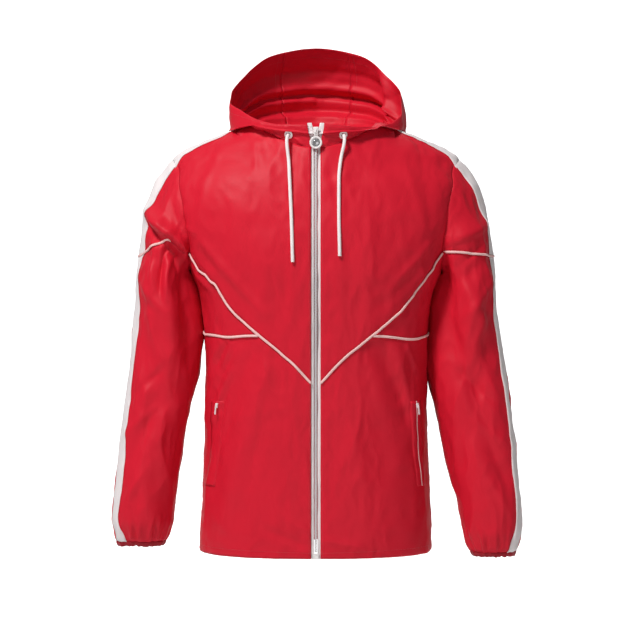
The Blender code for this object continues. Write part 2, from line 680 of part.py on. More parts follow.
# ---- The garment's cloth pieces ----
def front_pieces(side, red):
    """The three panels of one front; returns the grids that carry tape, pocket and piping."""
    name = SIDE_NAME[side]
    lower_diagonal, upper_diagonal = diagonal_line()
    level = level_line()
    arm = armhole_line()
    waist_shares = np.array([0, 0.075, 0.15, 0.225, 0.30, 0.375, 0.56, 0.70, 0.735, 0.86, 1.0])
    lower = patch(
        hem_line(waist_shares),
        side_line(HEM, SIDE_MARK, HEM_TO_MARK),
        np.concatenate([lower_diagonal, level[1:]]),
        centre_line(HEM, DIAGONAL["height"][0], HEM_TO_MARK),
    )
    middle = patch(
        level,
        side_line(SIDE_MARK, UNDERARM, MARK_TO_UNDERARM),
        arm[UNDERARM_TO_NOTCH::-1],
        upper_diagonal,
    )
    upper = patch(
        np.concatenate([lower_diagonal, upper_diagonal[1:]]),
        arm[UNDERARM_TO_NOTCH : UNDERARM_TO_NOTCH + NOTCH_TO_TOP + 1],
        np.concatenate([neck_line(4.0, 90.0, NECK_PARTS), shoulder_line()[1:]]),
        centre_line(DIAGONAL["height"][0], NECK_FRONT, NOTCH_TO_TOP, TAPE_PARTS),
    )
    upper = with_tape_rows(upper)
    grids = {}
    for part, grid in (("lower", lower), ("side", middle), ("upper", upper)):
        grids[part] = on_body(grid, side)
        wall(f"front_{part}_{name}", *grids[part], red)
    return grids


def back_piece(red):
    """The back, in one piece from side seam to side seam."""
    arm = armhole_line()
    over = np.concatenate([
        side_line(HEM, SIDE_MARK, HEM_TO_MARK),
        side_line(SIDE_MARK, UNDERARM, MARK_TO_UNDERARM)[1:],
        arm[: UNDERARM_TO_NOTCH + NOTCH_TO_TOP - 1 : -1][1:],
    ])
    mirror = np.array([-1, 1, 1])
    count = 2 * SHOULDER_PARTS + BACK_NECK_PARTS
    hem = body_bare(np.linspace(90, 270, count + 1), HEM)
    half_neck = neck_line(90.0, 180.0, BACK_NECK_PARTS // 2)
    half_top = np.concatenate([shoulder_line()[::-1], half_neck[1:]])
    top = np.concatenate([half_top, (half_top * mirror)[-2::-1]])
    grid = drawn_in(patch(hem, over * mirror, top, over))
    wall("back", *body_point(turn_of(grid), grid[..., 2]), red)


def gathered(grid, normals, rows=6, waves=0.0021):
    """The sleeve's end drawn into small gathers by the elastic."""
    out = grid.copy()
    sign = np.where(np.arange(grid.shape[1]) % 2 == 0, 1.0, -1.0)
    sign[-1] = sign[0]
    for back, share in zip(range(1, rows + 1), (0.45, 0.95, 1.0, 0.75, 0.45, 0.2)):
        out[-back] += normals[-back] * (sign * waves * share)[:, None]
    return out


def sleeve_pieces(side, red, white, elastic):
    """Upper sleeve, lower sleeve, cuff, the piping between them and the tape down them."""
    name = SIDE_NAME[side]
    upper, lower = sleeve_grids(side)
    points, normals = sleeve_point(side, *upper)
    cap = drawn_in(points, tips=True)
    wall(f"sleeve_upper_{name}", cap, normals, red)
    tape = slice(NOTCH_TO_TOP - TAPE_PARTS, NOTCH_TO_TOP + 1)
    raised = 0.0006, 0.0016
    tape_cap = moved(cap, normals, 0)[:, tape]
    tape_cap[0] += unit(tape_cap[1] - tape_cap[0]) * 0.0008
    tape_cap[-1] += unit(tape_cap[-2] - tape_cap[-1]) * 0.0026
    layer(f"upper_sleeve_tape_{name}", tape_cap, normals[:, tape], *raised, white)

    points, normals = sleeve_point(side, *lower)
    tube = gathered(drawn_in(points, loop=True), normals)
    wall(f"sleeve_lower_{name}", tube, normals, red, loop=True)
    tape = slice(UNDERARM_TO_NOTCH + NOTCH_TO_TOP - TAPE_PARTS, UNDERARM_TO_NOTCH + NOTCH_TO_TOP + 1)
    tape_tube = tube[:, tape].copy()
    tape_tube[0] += unit(tape_tube[1] - tape_tube[0]) * 0.0026
    layer(f"lower_sleeve_tape_{name}", tape_tube, normals[:, tape], *raised, white)

    over = slice(UNDERARM_TO_NOTCH, BACK_NOTCH + 1)
    seam, seam_normals = points[0, over], normals[0, over]
    line = trimmed(seam, 0.004, 0.004)
    shares = np.linspace(0, 1, len(seam))
    line_normals = np.stack(
        [np.interp(np.linspace(0, 1, len(line)), shares, seam_normals[:, k]) for k in range(3)], axis=1
    )
    bead(f"piping_sleeve_{name}", line, unit(line_normals), white)

    end = tube[-1] - normals[-1] * 0.0004
    down = unit(points[-1] - points[-2])
    band = np.stack([end + down * 2 * SEAM, end + down * (2 * SEAM + CUFF_HEIGHT)])
    band_normals = np.stack([normals[-1], normals[-1]])
    wall(f"cuff_{name}", moved(band, band_normals, 0.0006), band_normals, elastic, 0.0022, loop=True)


def hood_pieces(red):
    """Two side panels and the strip between them; returns the grids of the sides."""
    rises = np.linspace(0, 1, HOOD_ROWS + 1)[:, None]
    side_turns = np.concatenate([np.linspace(4, 90, 8), np.linspace(90, HOOD_CENTRE_TURN, 8)[1:]])[None, :]
    grids = {}
    for side in (LEFT, RIGHT):
        points, normals = hood_point(side, side_turns, rises)
        grids[side] = drawn_in(points), normals
        wall(f"hood_side_{SIDE_NAME[side]}", *grids[side], red)
    half_turns = np.linspace(HOOD_CENTRE_TURN, 180, 4)
    left, left_normals = hood_point(LEFT, half_turns[None, :], rises)
    mirror = np.array([-1, 1, 1])
    left[:, -1, 0] = 0
    left_normals[:, -1, 0] = 0
    strip = np.concatenate([left, (left * mirror)[:, -2::-1]], axis=1)
    normals = np.concatenate([left_normals, (left_normals * mirror)[:, -2::-1]], axis=1)
    wall("hood_centre", drawn_in(strip), normals, red)
    return grids


# ---- Trims ----
def front_trims(side, grids, white, red):
    """Shoulder tape, piping and pocket zip of one front; returns the pocket zip's top."""
    name = SIDE_NAME[side]
    points, normals = grids["upper"]
    tape = points[-1 - TAPE_PARTS :, NECK_PARTS:].copy()
    tape[:, 0] += unit(tape[:, 1] - tape[:, 0]) * 0.0035
    tape[:, -1] += unit(tape[:, -2] - tape[:, -1]) * 0.0008
    layer(f"shoulder_tape_{name}", tape, normals[-1 - TAPE_PARTS :, NECK_PARTS:], 0.0006, 0.0016, white)

    lower_diagonal, upper_diagonal = diagonal_line()
    for part, line, start, end in (
        ("diagonal", np.concatenate([lower_diagonal, upper_diagonal[1:]]), 0.001, 0.004),
        ("level", level_line(), 0.0064, 0.001),
    ):
        seam = trimmed(line, start, end)
        bead(f"piping_{part}_{name}", *body_point(turn_of(seam) * side, seam[:, 2]), white)

    points, normals = grids["lower"]
    low, high = POCKET_ROWS
    cut = np.s_[low : high + 1, POCKET_COLUMN : POCKET_COLUMN + 2]
    layer(f"pocket_zip_{name}", points[cut], normals[cut], 0.0004, 0.0016, red)
    top, normal = points[high, POCKET_COLUMN : POCKET_COLUMN + 2].mean(axis=0), normals[high, POCKET_COLUMN]
    return top, normal, (points[high] - points[high - 1])[POCKET_COLUMN]


# ---- Zip, sliders and pulls ----
def front_edge(side, fronts, hood):
    """The first two points of every row beside the zip, from hem to rim, and their normals."""
    parts = fronts["lower"], fronts["upper"], hood
    points = np.concatenate([grid[:-1, :2] for grid, _ in parts] + [hood[0][-1:, :2]])
    normals = np.concatenate([grid[:-1, :2] for _, grid in parts] + [hood[1][-1:, :2]])
    points = np.concatenate([points, points[-1:] + np.array([0, 0, ZIP_TOP])])
    return points, np.concatenate([normals, normals[-1:]])


def zip_line(edge, across, heights):
    """Places level with the front edges, and their normals."""
    across, heights = np.broadcast_arrays(np.asarray(across, float), np.asarray(heights, float))
    back = np.interp(heights, edge[:, 2], edge[:, 1])
    slope = np.interp(heights, edge[:, 2], np.gradient(edge[:, 1], edge[:, 2]))
    normals = np.stack([np.zeros(heights.shape), np.full(heights.shape, -1.0), slope], axis=-1)
    return np.stack([across, back, heights], axis=-1), unit(normals)


def box(name, centre, size, axes, finish=None):
    """A box along three axes; without a finish it is a helper that shapes another piece."""
    corners = [
        centre + sum(axis * length / 2 * sign for axis, length, sign in zip(axes, size, signs))
        for signs in ((-1, -1, -1), (1, -1, -1), (1, 1, -1), (-1, 1, -1), (-1, -1, 1), (1, -1, 1), (1, 1, 1), (-1, 1, 1))
    ]
    faces = [(3, 2, 1, 0), (4, 5, 6, 7), (0, 1, 5, 4), (1, 2, 6, 5), (2, 3, 7, 6), (3, 0, 4, 7)]
    made = solid(name, corners, faces, finish)
    return made if finish else helper(made)


def disc(name, centre, radius, thick, axes, finish=None, sides=36):
    """A round plate facing along the third axis."""
    turns = np.linspace(0, 2 * math.pi, sides, endpoint=False)[:, None]
    rim = centre + radius * (np.cos(turns) * axes[0] + np.sin(turns) * axes[1])
    points = np.concatenate([rim - axes[2] * thick / 2, rim + axes[2] * thick / 2])
    faces = [list(range(sides))[::-1], list(range(sides, 2 * sides))]
    faces += [[i, (i + 1) % sides, (i + 1) % sides + sides, i + sides] for i in range(sides)]
    made = solid(name, points, faces, finish)
    return made if finish else helper(made)


def helper(thing):
    thing.hide_render = True
    thing.display_type = "WIRE"
    return thing


def shaped(thing, operation, *others):
    for other in others:
        change = thing.modifiers.new(operation.lower(), "BOOLEAN")
        change.operation = operation
        change.solver = "EXACT"
        change.object = other
    return thing


def zip_pieces(fronts, hoods, hard, white):
    """Tapes, chain, box, slider and pull of the front zip."""
    for side in (LEFT, RIGHT):
        points, normals = front_edge(side, fronts[side], hoods[side])
        start, onward = points[:, 0], unit(points[:, 1] - points[:, 0])
        inner = start.copy()
        inner[:, 0] = side * np.interp(start[:, 2], TAPE_FLARE["height"], TAPE_FLARE["inner"])
        outer_edge = np.interp(start[:, 2], TAPE_FLARE["height"], TAPE_FLARE["outer"])
        outer = start + onward * (outer_edge - np.abs(start[:, 0]))[:, None]
        tape = np.stack([inner, start, outer], axis=1)
        facing = unit(np.repeat(normals[:, :1], 3, axis=1) * np.array([0, 1, 1]))
        layer(f"zip_tape_{SIDE_NAME[side]}", tape, facing, ZIP["inner"][ZIP_TAPES], ZIP["outer"][ZIP_TAPES], white)
    edge = points[:, 0]
    for name, row in (("zip_chain", ZIP_CHAIN), ("zip_box", ZIP_BOX)):
        low, high = ZIP["low"][row], ZIP["high"][row]
        inside = edge[(edge[:, 2] > low + 0.002) & (edge[:, 2] < high - 0.002), 2]
        heights = np.concatenate([[low], inside, [high]])
        across = np.array([-1, 1]) * ZIP["half_width"][row]
        layer(name, *zip_line(edge, across, heights[:, None]), ZIP["inner"][row], ZIP["outer"][row], hard)

    right, down, out = np.array([1.0, 0, 0]), np.array([0, 0, -1.0]), np.array([0, -1.0, 0])
    axes = (right, down, out)
    middle = (ZIP["low"][ZIP_SLIDER] + ZIP["high"][ZIP_SLIDER]) / 2
    face = zip_line(edge, 0.0, middle)[0]
    inner, outer = ZIP["inner"][ZIP_SLIDER], ZIP["outer"][ZIP_SLIDER]
    size = (2 * ZIP["half_width"][ZIP_SLIDER], ZIP["high"][ZIP_SLIDER] - ZIP["low"][ZIP_SLIDER], outer - inner)
    slider = box("zip_slider", face + out * (inner + outer) / 2, size, axes, hard)
    bar = face + out * (outer + PULL_BAR_LIFT)
    arch = box("slider_arch", bar + down * 0.0006 + out * 0.0003, (0.0016, 0.0060, 0.0038), axes)
    gap = box("slider_gap", bar + down * 0.0006, (0.0030, 0.0036, 0.0022), axes)
    shaped(slider, "UNION", shaped(arch, "DIFFERENCE", gap))

    pull = disc("zip_pull", bar + down * PULL_RING_CENTRE, PULL_RING_RADIUS, PULL_THICKNESS, axes, hard)
    arms = box("pull_arms", bar + down * 0.0044, (0.0058, 0.0102, PULL_THICKNESS), axes)
    slot = box("pull_slot", bar + down * 0.0036, (0.0028, 0.0060, 0.0040), axes)
    dents = [
        disc(f"pull_dent_{i}", bar + down * PULL_RING_CENTRE + out * 0.0008 * sign, PULL_DISC_RADIUS, 0.0010, axes)
        for i, sign in enumerate((1, -1))
    ]
    shaped(pull, "UNION", arms)
    shaped(pull, "DIFFERENCE", slot, *dents)


def pocket_pull_pieces(side, place, normal, along, white):
    """The slider at the top of a pocket zip, and its small pull."""
    name = SIDE_NAME[side]
    out = unit(normal)
    down = -unit(along - out * (along @ out))
    axes = (np.cross(down, out), down, out)
    width, length, thick = POCKET_SLIDER
    face = 0.0026 + thick
    centre = place + down * length * 0.7
    box(f"pocket_slider_{name}", centre + out * (face - thick / 2), (width, length, thick), axes, white)
    width, length, thick = POCKET_PULL
    hinge = centre + out * (face + LIFT + thick / 2)
    box(f"pocket_pull_{name}", hinge + down * (length / 2 - 0.0005), (width, length, thick), axes, white)


def eyelet_and_cord(side, hard, white):
    """A ringed hole in the hood's front, and the drawcord that hangs from it."""
    name = SIDE_NAME[side]
    place, out = hood_point(side, EYELET_TURN, EYELET_RISE)
    right = unit(np.cross(out, np.array([0, 0, 1.0])))
    axes = (right, np.cross(out, right), out)
    centre = place + out * (2 * LIFT + EYELET_THICK / 2)
    eyelet = disc(f"eyelet_{name}", centre, EYELET_OUTER, EYELET_THICK, axes, hard)
    shaped(eyelet, "DIFFERENCE", disc(f"eyelet_hole_{name}", centre, EYELET_INNER, 2 * EYELET_THICK, axes))

    rows = CORD[side]
    heights = np.linspace(rows["height"][0] - CORD_DROP, rows["height"][-1], 26)
    across = ease(-heights, -rows["height"], rows["across"])
    points, normals = body_point(turn_at(across, heights) * side, heights)
    lying = points + normals * (CORD_RADIUS + 2 * LIFT)
    start = place + out * LIFT
    bend = start + out * CORD_BEND
    arrive = lying[0] - unit(lying[1] - lying[0]) * CORD_BEND
    steps = np.linspace(0, 1, 14)[:, None]
    curve = (1 - steps) ** 3 * start + 3 * (1 - steps) ** 2 * steps * bend
    curve = curve + 3 * (1 - steps) * steps**2 * arrive + steps**3 * lying[0]
    path = np.concatenate([curve, lying[1:]])
    line = bpy.data.curves.new(f"drawcord_{name}", "CURVE")
    line.dimensions = "3D"
    line.bevel_depth = CORD_RADIUS
    line.bevel_resolution = 2
    line.use_fill_caps = True
    spline = line.splines.new("POLY")
    spline.points.add(len(path) - 1)
    for point, at in zip(spline.points, path):
        point.co = (*at, 1.0)
    add(line.name, line, white)
    return path


def main():
    for thing in list(bpy.data.objects):
        bpy.data.objects.remove(thing)
    red = material("shell_red", RED, 0.55)
    elastic = material("cuff_red", DARK_RED, 0.7)
    white = material("trim_white", WHITE, 0.6)
    hard = material("trim_plastic", WHITE, 0.35)
    cord = material("cord_white", WHITE, 0.8)
    fronts = {}
    for side in (LEFT, RIGHT):
        fronts[side] = front_pieces(side, red)
        pocket_pull_pieces(side, *front_trims(side, fronts[side], white, elastic), hard)
        sleeve_pieces(side, red, white, elastic)
        eyelet_and_cord(side, hard, cord)
    back_piece(red)
    hoods = hood_pieces(red)
    zip_pieces(fronts, hoods, hard, white)


main()
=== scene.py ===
"""The visual model of a hooded zip-front windbreaker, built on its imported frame.

Metres, +Z up. The front faces -Y and the wearer's left side is +X. A turn is in degrees: round
the body and the neck it starts at the front, and round a sleeve at its outer line.
"""

import math

import bmesh
import bpy
import numpy as np
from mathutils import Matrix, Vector, noise


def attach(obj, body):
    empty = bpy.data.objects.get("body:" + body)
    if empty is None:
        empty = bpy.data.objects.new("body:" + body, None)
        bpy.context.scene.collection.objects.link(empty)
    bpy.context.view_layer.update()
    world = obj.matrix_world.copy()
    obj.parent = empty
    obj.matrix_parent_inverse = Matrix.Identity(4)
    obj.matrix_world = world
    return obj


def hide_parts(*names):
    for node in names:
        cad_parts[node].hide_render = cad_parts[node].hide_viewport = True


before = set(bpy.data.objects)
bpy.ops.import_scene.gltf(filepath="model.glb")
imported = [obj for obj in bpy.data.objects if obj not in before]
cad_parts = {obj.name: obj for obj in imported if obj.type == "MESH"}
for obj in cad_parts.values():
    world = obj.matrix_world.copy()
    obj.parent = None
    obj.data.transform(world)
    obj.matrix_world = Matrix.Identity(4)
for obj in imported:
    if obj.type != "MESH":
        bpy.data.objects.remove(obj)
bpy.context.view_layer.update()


# ---- Stage ----
# A pale sweep of paper, soft studio light from the photograph's left, and the photograph's
# camera: level, 2.9 m in front of the side seams, 1.05 m across there.
def linked(name, data):
    thing = bpy.data.objects.new(name, data)
    bpy.context.scene.collection.objects.link(thing)
    return thing


def shaped_mesh(name, points, faces, finish):
    mesh = bpy.data.meshes.new(name)
    mesh.from_pydata(np.asarray(points, float).tolist(), [], faces)
    mesh.shade_smooth()
    mesh.materials.append(finish)
    return linked(name, mesh)


def wired(made, node, inputs):
    """Set a node's inputs to numbers and colours, or join them to other nodes' outputs."""
    for name, value in inputs.items():
        if isinstance(value, bpy.types.NodeSocket):
            made.node_tree.links.new(value, node.inputs[name])
        else:
            node.inputs[name].default_value = value


def outputs(made, kind, inputs, **settings):
    """The outputs of a new shader node."""
    node = made.node_tree.nodes.new("ShaderNode" + kind)
    for name, value in settings.items():
        setattr(node, name, value)
    wired(made, node, inputs)
    return node.outputs


def surface(made, inputs):
    wired(made, made.node_tree.nodes["Principled BSDF"], inputs)


def material(name, colour, roughness, sheen=0.0):
    made = bpy.data.materials.new(name)
    made.use_nodes = True
    surface(made, {"Base Color": (*colour, 1), "Roughness": roughness, "Sheen Weight": sheen})
    return made


FLOOR, WALL_START, BEND = -1.05, 2.6, 1.2
profile = [(-4.5, FLOOR), (WALL_START, FLOOR)]
for angle in np.linspace(0.1, math.pi / 2, 14):
    profile.append((WALL_START + BEND * math.sin(angle), FLOOR + BEND - BEND * math.cos(angle)))
profile.append((WALL_START + BEND, 3.5))
paper = material("paper", (0.90, 0.90, 0.90), 0.9)
seen = outputs(paper, "LightPath", {})
glow = outputs(paper, "Math", {0: seen["Is Camera Ray"], 1: 0.75}, operation="MULTIPLY")
surface(paper, {"Emission Color": (1, 1, 1, 1), "Emission Strength": glow["Value"]})
sweep_points = [(x, y, z) for y, z in profile for x in (-6, 6)]
sweep_faces = [(2 * i, 2 * i + 1, 2 * i + 3, 2 * i + 2) for i in range(len(profile) - 1)]
shaped_mesh("sweep", sweep_points, sweep_faces, paper)

world = bpy.data.worlds.new("studio")
world.use_nodes = True
wired(world, world.node_tree.nodes["Background"], {"Color": (1, 1, 1, 1), "Strength": 0.16})
bpy.context.scene.world = world
bpy.context.scene.view_settings.view_transform = "Standard"


def area_light(name, place, aim, size, power):
    data = bpy.data.lights.new(name, "AREA")
    data.shape, data.size, data.energy = "DISK", size, power
    lamp = linked(name, data)
    lamp.location = place
    x, y, z = np.array(aim) - np.array(place)
    lamp.rotation_euler = (math.pi / 2 + math.atan2(z, math.hypot(x, y)), 0, math.atan2(-x, y))


area_light("key_light", (-1.45, -2.0, 2.7), (-0.08, 0, -0.1), 0.8, 138)
area_light("fill_light", (0.9, -3.0, -0.2), (0, 0, -0.3), 1.4, 8)
area_light("back_light", (0.0, 1.4, 1.4), (0, 2.0, 0.2), 1.5, 18)

lens = bpy.data.cameras.new("camera")
lens.lens = 36 * 2.9 / 1.05
camera = linked("camera", lens)
camera.location = (0.0066, -2.9, -0.31)
camera.rotation_euler = (math.pi / 2, 0, 0)
bpy.context.scene.camera = camera


# ---- Drawcords ----
# Round braided white cord, 5.5 mm thick, out of an eyelet on each side of the hood's front and
# down the chest to a bare end. It lies on the body and leaves the hood, so their forms come first.
LEFT, RIGHT = 1, -1
SIDE_NAME = {LEFT: "L", RIGHT: "R"}


def table(units, *rows):
    """Rows of numbers: a column marked m is in millimetres and comes out in metres."""
    return np.array(rows, float) / [1000 if unit == "m" else 1 for unit in units]


def ease(at, knots, values):
    """A smooth curve through the values, with no overshoot between them."""
    at = np.asarray(at, float)
    step = np.diff(knots)
    slope = np.diff(values) / step
    product, total = slope[:-1] * slope[1:], slope[:-1] + slope[1:]
    total = np.where(np.abs(total) < 1e-12, 1.0, total)
    tangent = np.concatenate([slope[:1], np.where(product > 0, 2 * product / total, 0.0), slope[-1:]])
    i = np.clip(np.searchsorted(knots, at, side="right") - 1, 0, len(step) - 1)
    t = np.clip((at - knots[i]) / step[i], 0.0, 1.0)
    lead = (t**3 - 2 * t**2 + t) * tangent[i] * step[i]
    trail = (t**3 - t**2) * tangent[i + 1] * step[i]
    mixed = (2 * t**3 - 3 * t**2 + 1) * values[i] + (3 * t**2 - 2 * t**3) * values[i + 1]
    return mixed + lead + trail


def read_off(rows, at):
    """Each further column of a table, eased at places in its first one."""
    return [ease(at, rows[:, 0], column) for column in rows.T[1:]]


def paired(first, second):
    return np.broadcast_arrays(np.asarray(first, float), np.asarray(second, float))


def waves(turn):
    """The sine and the cosine of degrees."""
    return np.sin(np.radians(turn)), np.cos(np.radians(turn))


def unit(vectors):
    length = np.linalg.norm(vectors, axis=-1, keepdims=True)
    return vectors / np.where(length < 1e-12, 1.0, length)


def facing_of(form, first, second, first_step, second_step):
    """The unit normal of a form that is a function of two numbers."""
    across = form(first + first_step, second) - form(first - first_step, second)
    along = form(first, second + second_step) - form(first, second - second_step)
    return unit(np.cross(across, along))


def bezier(start, leave, arrive, end, t):
    ends = (1 - t) ** 3 * start + t**3 * end
    return ends + 3 * (1 - t) ** 2 * t * leave + 3 * (1 - t) * t**2 * arrive


def raised(points, normals, rise):
    return points + normals * np.asarray(rise)[..., None]


# Level sections of the body, from the hem up: height, half width, front, back, roundness.
BODY = table(
    "mmmm-",
    (-685, 190, 130, 124, 2.4), (-640, 188.5, 131, 120, 2.4), (-580, 186, 130, 116, 2.4),
    (-500, 182, 128, 110, 2.4), (-400, 181, 127, 107, 2.4), (-335, 183, 129, 110, 2.4),
    (-270, 192, 132, 116, 2.4), (-235, 205, 134, 120, 2.4), (-200, 217, 133, 122, 2.4),
    (-150, 234, 127, 122, 2.4), (-100, 240, 117, 116, 2.2), (-48, 235, 103, 104, 1.5),
    (-31, 213, 98, 97, 1.4), (-18, 184, 94, 90, 1.4), (-6, 155, 89, 82, 1.5),
    (6, 122, 83, 74, 1.8), (14, 98, 78, 68, 2),
)
HEM, NECK_TOP = BODY[0, 0], BODY[-1, 0]
# The neck seam: distance from the centre line, height.
NECK_SEAM_FRONT = table(
    "mm",
    (0, -36.5), (7.5, -36), (48.5, -23.5), (75, -10), (90, 1), (96, 8),
    (98, 14),
)
NECK_SEAM_BACK = table("mm", (0, -4), (50, -2), (80, 4), (93, 9), (98, 14))
ZIP_EDGE, NECK_FRONT = NECK_SEAM_FRONT[1]  # where the folded front edges end
NECK_SIDE = NECK_SEAM_FRONT[-1, 0]
# Soft folds of the body: turn and height at one end and at the other, width, depth.
BODY_FOLDS = table(
    "-m-mmm",
    (30, -350, 50, -470, 18, -6), (38, -345, 62, -500, 16, 3.5), (-38, -345, -66, -555, 16, -6),
    (-28, -400, -50, -640, 20, 4), (-55, -345, -75, -470, 14, 4.5), (14, -450, 20, -640, 24, 3),
    (60, -215, 40, -290, 16, 3.5), (-60, -215, -38, -300, 16, 4), (150, -150, 172, -330, 22, -5),
    (-150, -150, -170, -300, 22, -5), (125, -300, 150, -560, 24, -4.5),
    (-125, -320, -155, -600, 24, -4.5),
)
BODY_REACH, SLEEVE_REACH, HOOD_REACH = 0.16, 0.062, 0.12  # radius on which folds are laid out


def fold_depth(folds, turn, height, reach):
    """How far the folds raise the cloth at a place; each swells in its middle."""
    total = 0.0
    for start_turn, start_height, end_turn, end_height, width, depth in folds:
        start = np.array([math.radians(start_turn) * reach, start_height])
        run = np.array([math.radians(end_turn) * reach, end_height]) - start
        x, z = np.radians(turn) * reach - start[0], height - start[1]
        share = (x * run[0] + z * run[1]) / (run @ run)
        kept = np.clip(share, 0, 1)
        away = np.hypot(x - kept * run[0], z - kept * run[1])
        swell = 0.35 + 0.65 * np.sin(np.pi * np.clip(0.15 + 0.8 * share, 0, 1))
        total = total + depth * swell * np.exp(-((away / width) ** 2))
    return total


def body_bare(turn, height):
    """The body without folds."""
    turn, height = paired(turn, height)
    half_width, front, back, roundness = read_off(BODY, height)
    s, c = waves(turn)
    reach = (np.abs(s) ** roundness + np.abs(c) ** roundness) ** (-1 / roundness)
    depth = np.where(c > 0, front, back)
    return np.stack([reach * half_width * s, -reach * depth * c, height], axis=-1)


def body_point(turn, height):
    """A place on the body's folded form, and its outward normal."""
    turn, height = paired(turn, height)
    below_top = np.minimum(height, NECK_TOP - 0.0008)
    normal = facing_of(body_bare, turn, below_top, 0.25, 0.0005)
    folds = fold_depth(BODY_FOLDS, turn, height, BODY_REACH)
    return raised(body_bare(turn, height), normal, folds), normal


def turn_at(across, height):
    """The turn at which the body's front is that far from the centre line."""
    half_width, _, _, roundness = read_off(BODY, height)
    share = np.clip(np.abs(across) / half_width, 0, 1) ** roundness
    return np.degrees(np.arctan2(share ** (1 / roundness), (1 - share) ** (1 / roundness)))


def turn_of(points):
    """The turn of points that lie near the body."""
    half_width, front, back, _ = read_off(BODY, points[..., 2])
    depth = np.where(points[..., 1] < 0, front, back)
    return np.degrees(np.arctan2(points[..., 0] / half_width, -points[..., 1] / depth))


def neck_seam(turn):
    """The neck seam's place, as (body turn, height), at a turn round the neck."""
    across = NECK_SIDE * waves(turn)[0]
    levels = [read_off(seam, across)[0] for seam in (NECK_SEAM_FRONT, NECK_SEAM_BACK)]
    height = np.where(turn <= 90, *levels)
    body_turn = turn_at(across, height)
    return np.where(turn <= 90, body_turn, 180 - body_turn), height


# The hood, by turn round the neck: its rim as across, back and height, then how each rib leaves
# the seam (out, up) and arrives at the rim (out, down). The sides drop onto the shoulders.
HOOD = table(
    "-mmmmmmm",
    (0, 10, -100, 0, 1, 12, 1, 12), (4, 13, -100, 0, 1, 12, 1, 12),
    (30, 50, -94, 0.6, 3, 8, 2, 8), (55, 89.8, -70, 10, 12, 2, 7, 12),
    (75, 123.5, -35, 31, 30, 5, 8, 38), (90, 142, 0, 47, 40, -2, 4, 56),
    (110, 142, 45, 68, 44, -4, 8, 68), (130, 123.5, 85, 100, 58, 0, 22, 70),
    (155, 75, 113, 141, 92, 14, 50, 65), (180, 0, 122, 155, 112, 18, 65, 62),
    (205, -75, 113, 141, 92, 14, 50, 65),
)
# Level slack folds across its back: share of the way up, width as a share, depth.
HOOD_FOLDS = table(
    "--m",
    (0.38, 0.045, -8), (0.475, 0.03, 7), (0.56, 0.022, -4.5), (0.612, 0.013, 5),
    (0.68, 0.034, -7), (0.82, 0.035, 3),
)


def hood_bare(side, turn, rise):
    """The hood without folds: rise is 0 at the neck seam and 1 at the rim."""
    turn, rise = paired(turn, rise)
    across, back, height, low_out, low_up, high_out, high_down = read_off(HOOD, turn)
    s, c = waves(turn)
    seam, rim = body_bare(*neck_seam(turn)), np.stack([across, back, height], axis=-1)
    low = seam + np.stack([low_out * s, -low_out * c, low_up], axis=-1)
    high = rim + np.stack([high_out * s, -high_out * c, -high_down], axis=-1)
    return bezier(seam, low, high, rim, rise[..., None]) * (side, 1, 1)


def hood_point(side, turn, rise):
    """A place on the folded hood, and its outward normal."""
    turn, rise = paired(turn, rise)
    within = np.clip(turn, 0.6, 179.4), np.clip(rise, 0.02, 0.98)
    normal = facing_of(lambda t, r: hood_bare(side, t, r), *within, 0.5, 0.01) * side
    depth = sum(size * np.exp(-(((rise - middle) / width) ** 2)) for middle, width, size in HOOD_FOLDS)
    at_back = np.clip((turn - 85) / 50, 0, 1) ** 2
    return raised(hood_bare(side, turn, rise), normal, depth * at_back), normal


EYELET_TURN, EYELET_RISE = 25.7, 0.38
CORD_RADIUS = 0.00275
CORD_DROP, CORD_BEND = 0.006, 0.016  # where it meets the chest, and how wide it bends
# The way of each cord down the chest: distance from the centre line, height.
CORD = {
    RIGHT: table("mm", (42.5, -56), (40.5, -100), (37.8, -160), (36, -219.5)),
    LEFT: table("mm", (39.5, -52), (36.2, -85), (36, -140), (37.3, -210)),
}


def cord_route(side):
    """The drawcord's centre line, from the eyelet to its end."""
    place, out = hood_point(side, EYELET_TURN, EYELET_RISE)
    across, height = CORD[side].T
    heights = np.linspace(height[0] - CORD_DROP, height[-1], 26)
    across = ease(-heights, -height, across)
    points, normals = body_point(turn_at(across, heights) * side, heights)
    lying = points + normals * (CORD_RADIUS + 0.0006)
    start = place + out * 0.0003
    arrive = lying[0] - unit(lying[1] - lying[0]) * CORD_BEND
    steps = np.linspace(0, 1, 14)[:, None]
    curve = bezier(start, start + out * CORD_BEND, arrive, lying[0], steps)
    return np.concatenate([curve, lying[1:]])


def placed(piece, slot, *nodes, body="jacket"):
    """What a piece rides on, and the nodes of the frame that it stands for; its slot is not used."""
    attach(piece, body)
    if nodes:
        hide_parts(*nodes)
    return piece


braid = material("braid", (0.86, 0.80, 0.79), 0.8, 0.3)
for side, name in SIDE_NAME.items():
    route = cord_route(side)
    line = bpy.data.curves.new(f"cord_{name}", "CURVE")
    line.dimensions = "3D"
    line.bevel_depth, line.bevel_resolution, line.use_fill_caps = CORD_RADIUS, 4, True
    spline = line.splines.new("POLY")
    spline.points.add(len(route) - 1)
    for point, at in zip(spline.points, route):
        point.co = (*at, 1.0)
    line.materials.append(braid)
    cord = placed(linked(f"cord_{name}", line), "cord", f"drawcord_{name}")


# ---- Shell cloth ----
# Thin woven nylon: front panels, back, sleeves and hood, cut flat, sewn edge to edge, and
# filled out. Each panel is a shell 0.7 mm thick, with the photograph's folds and creases.
CLOTH = 0.0007
TAPE_WIDTH = 0.024
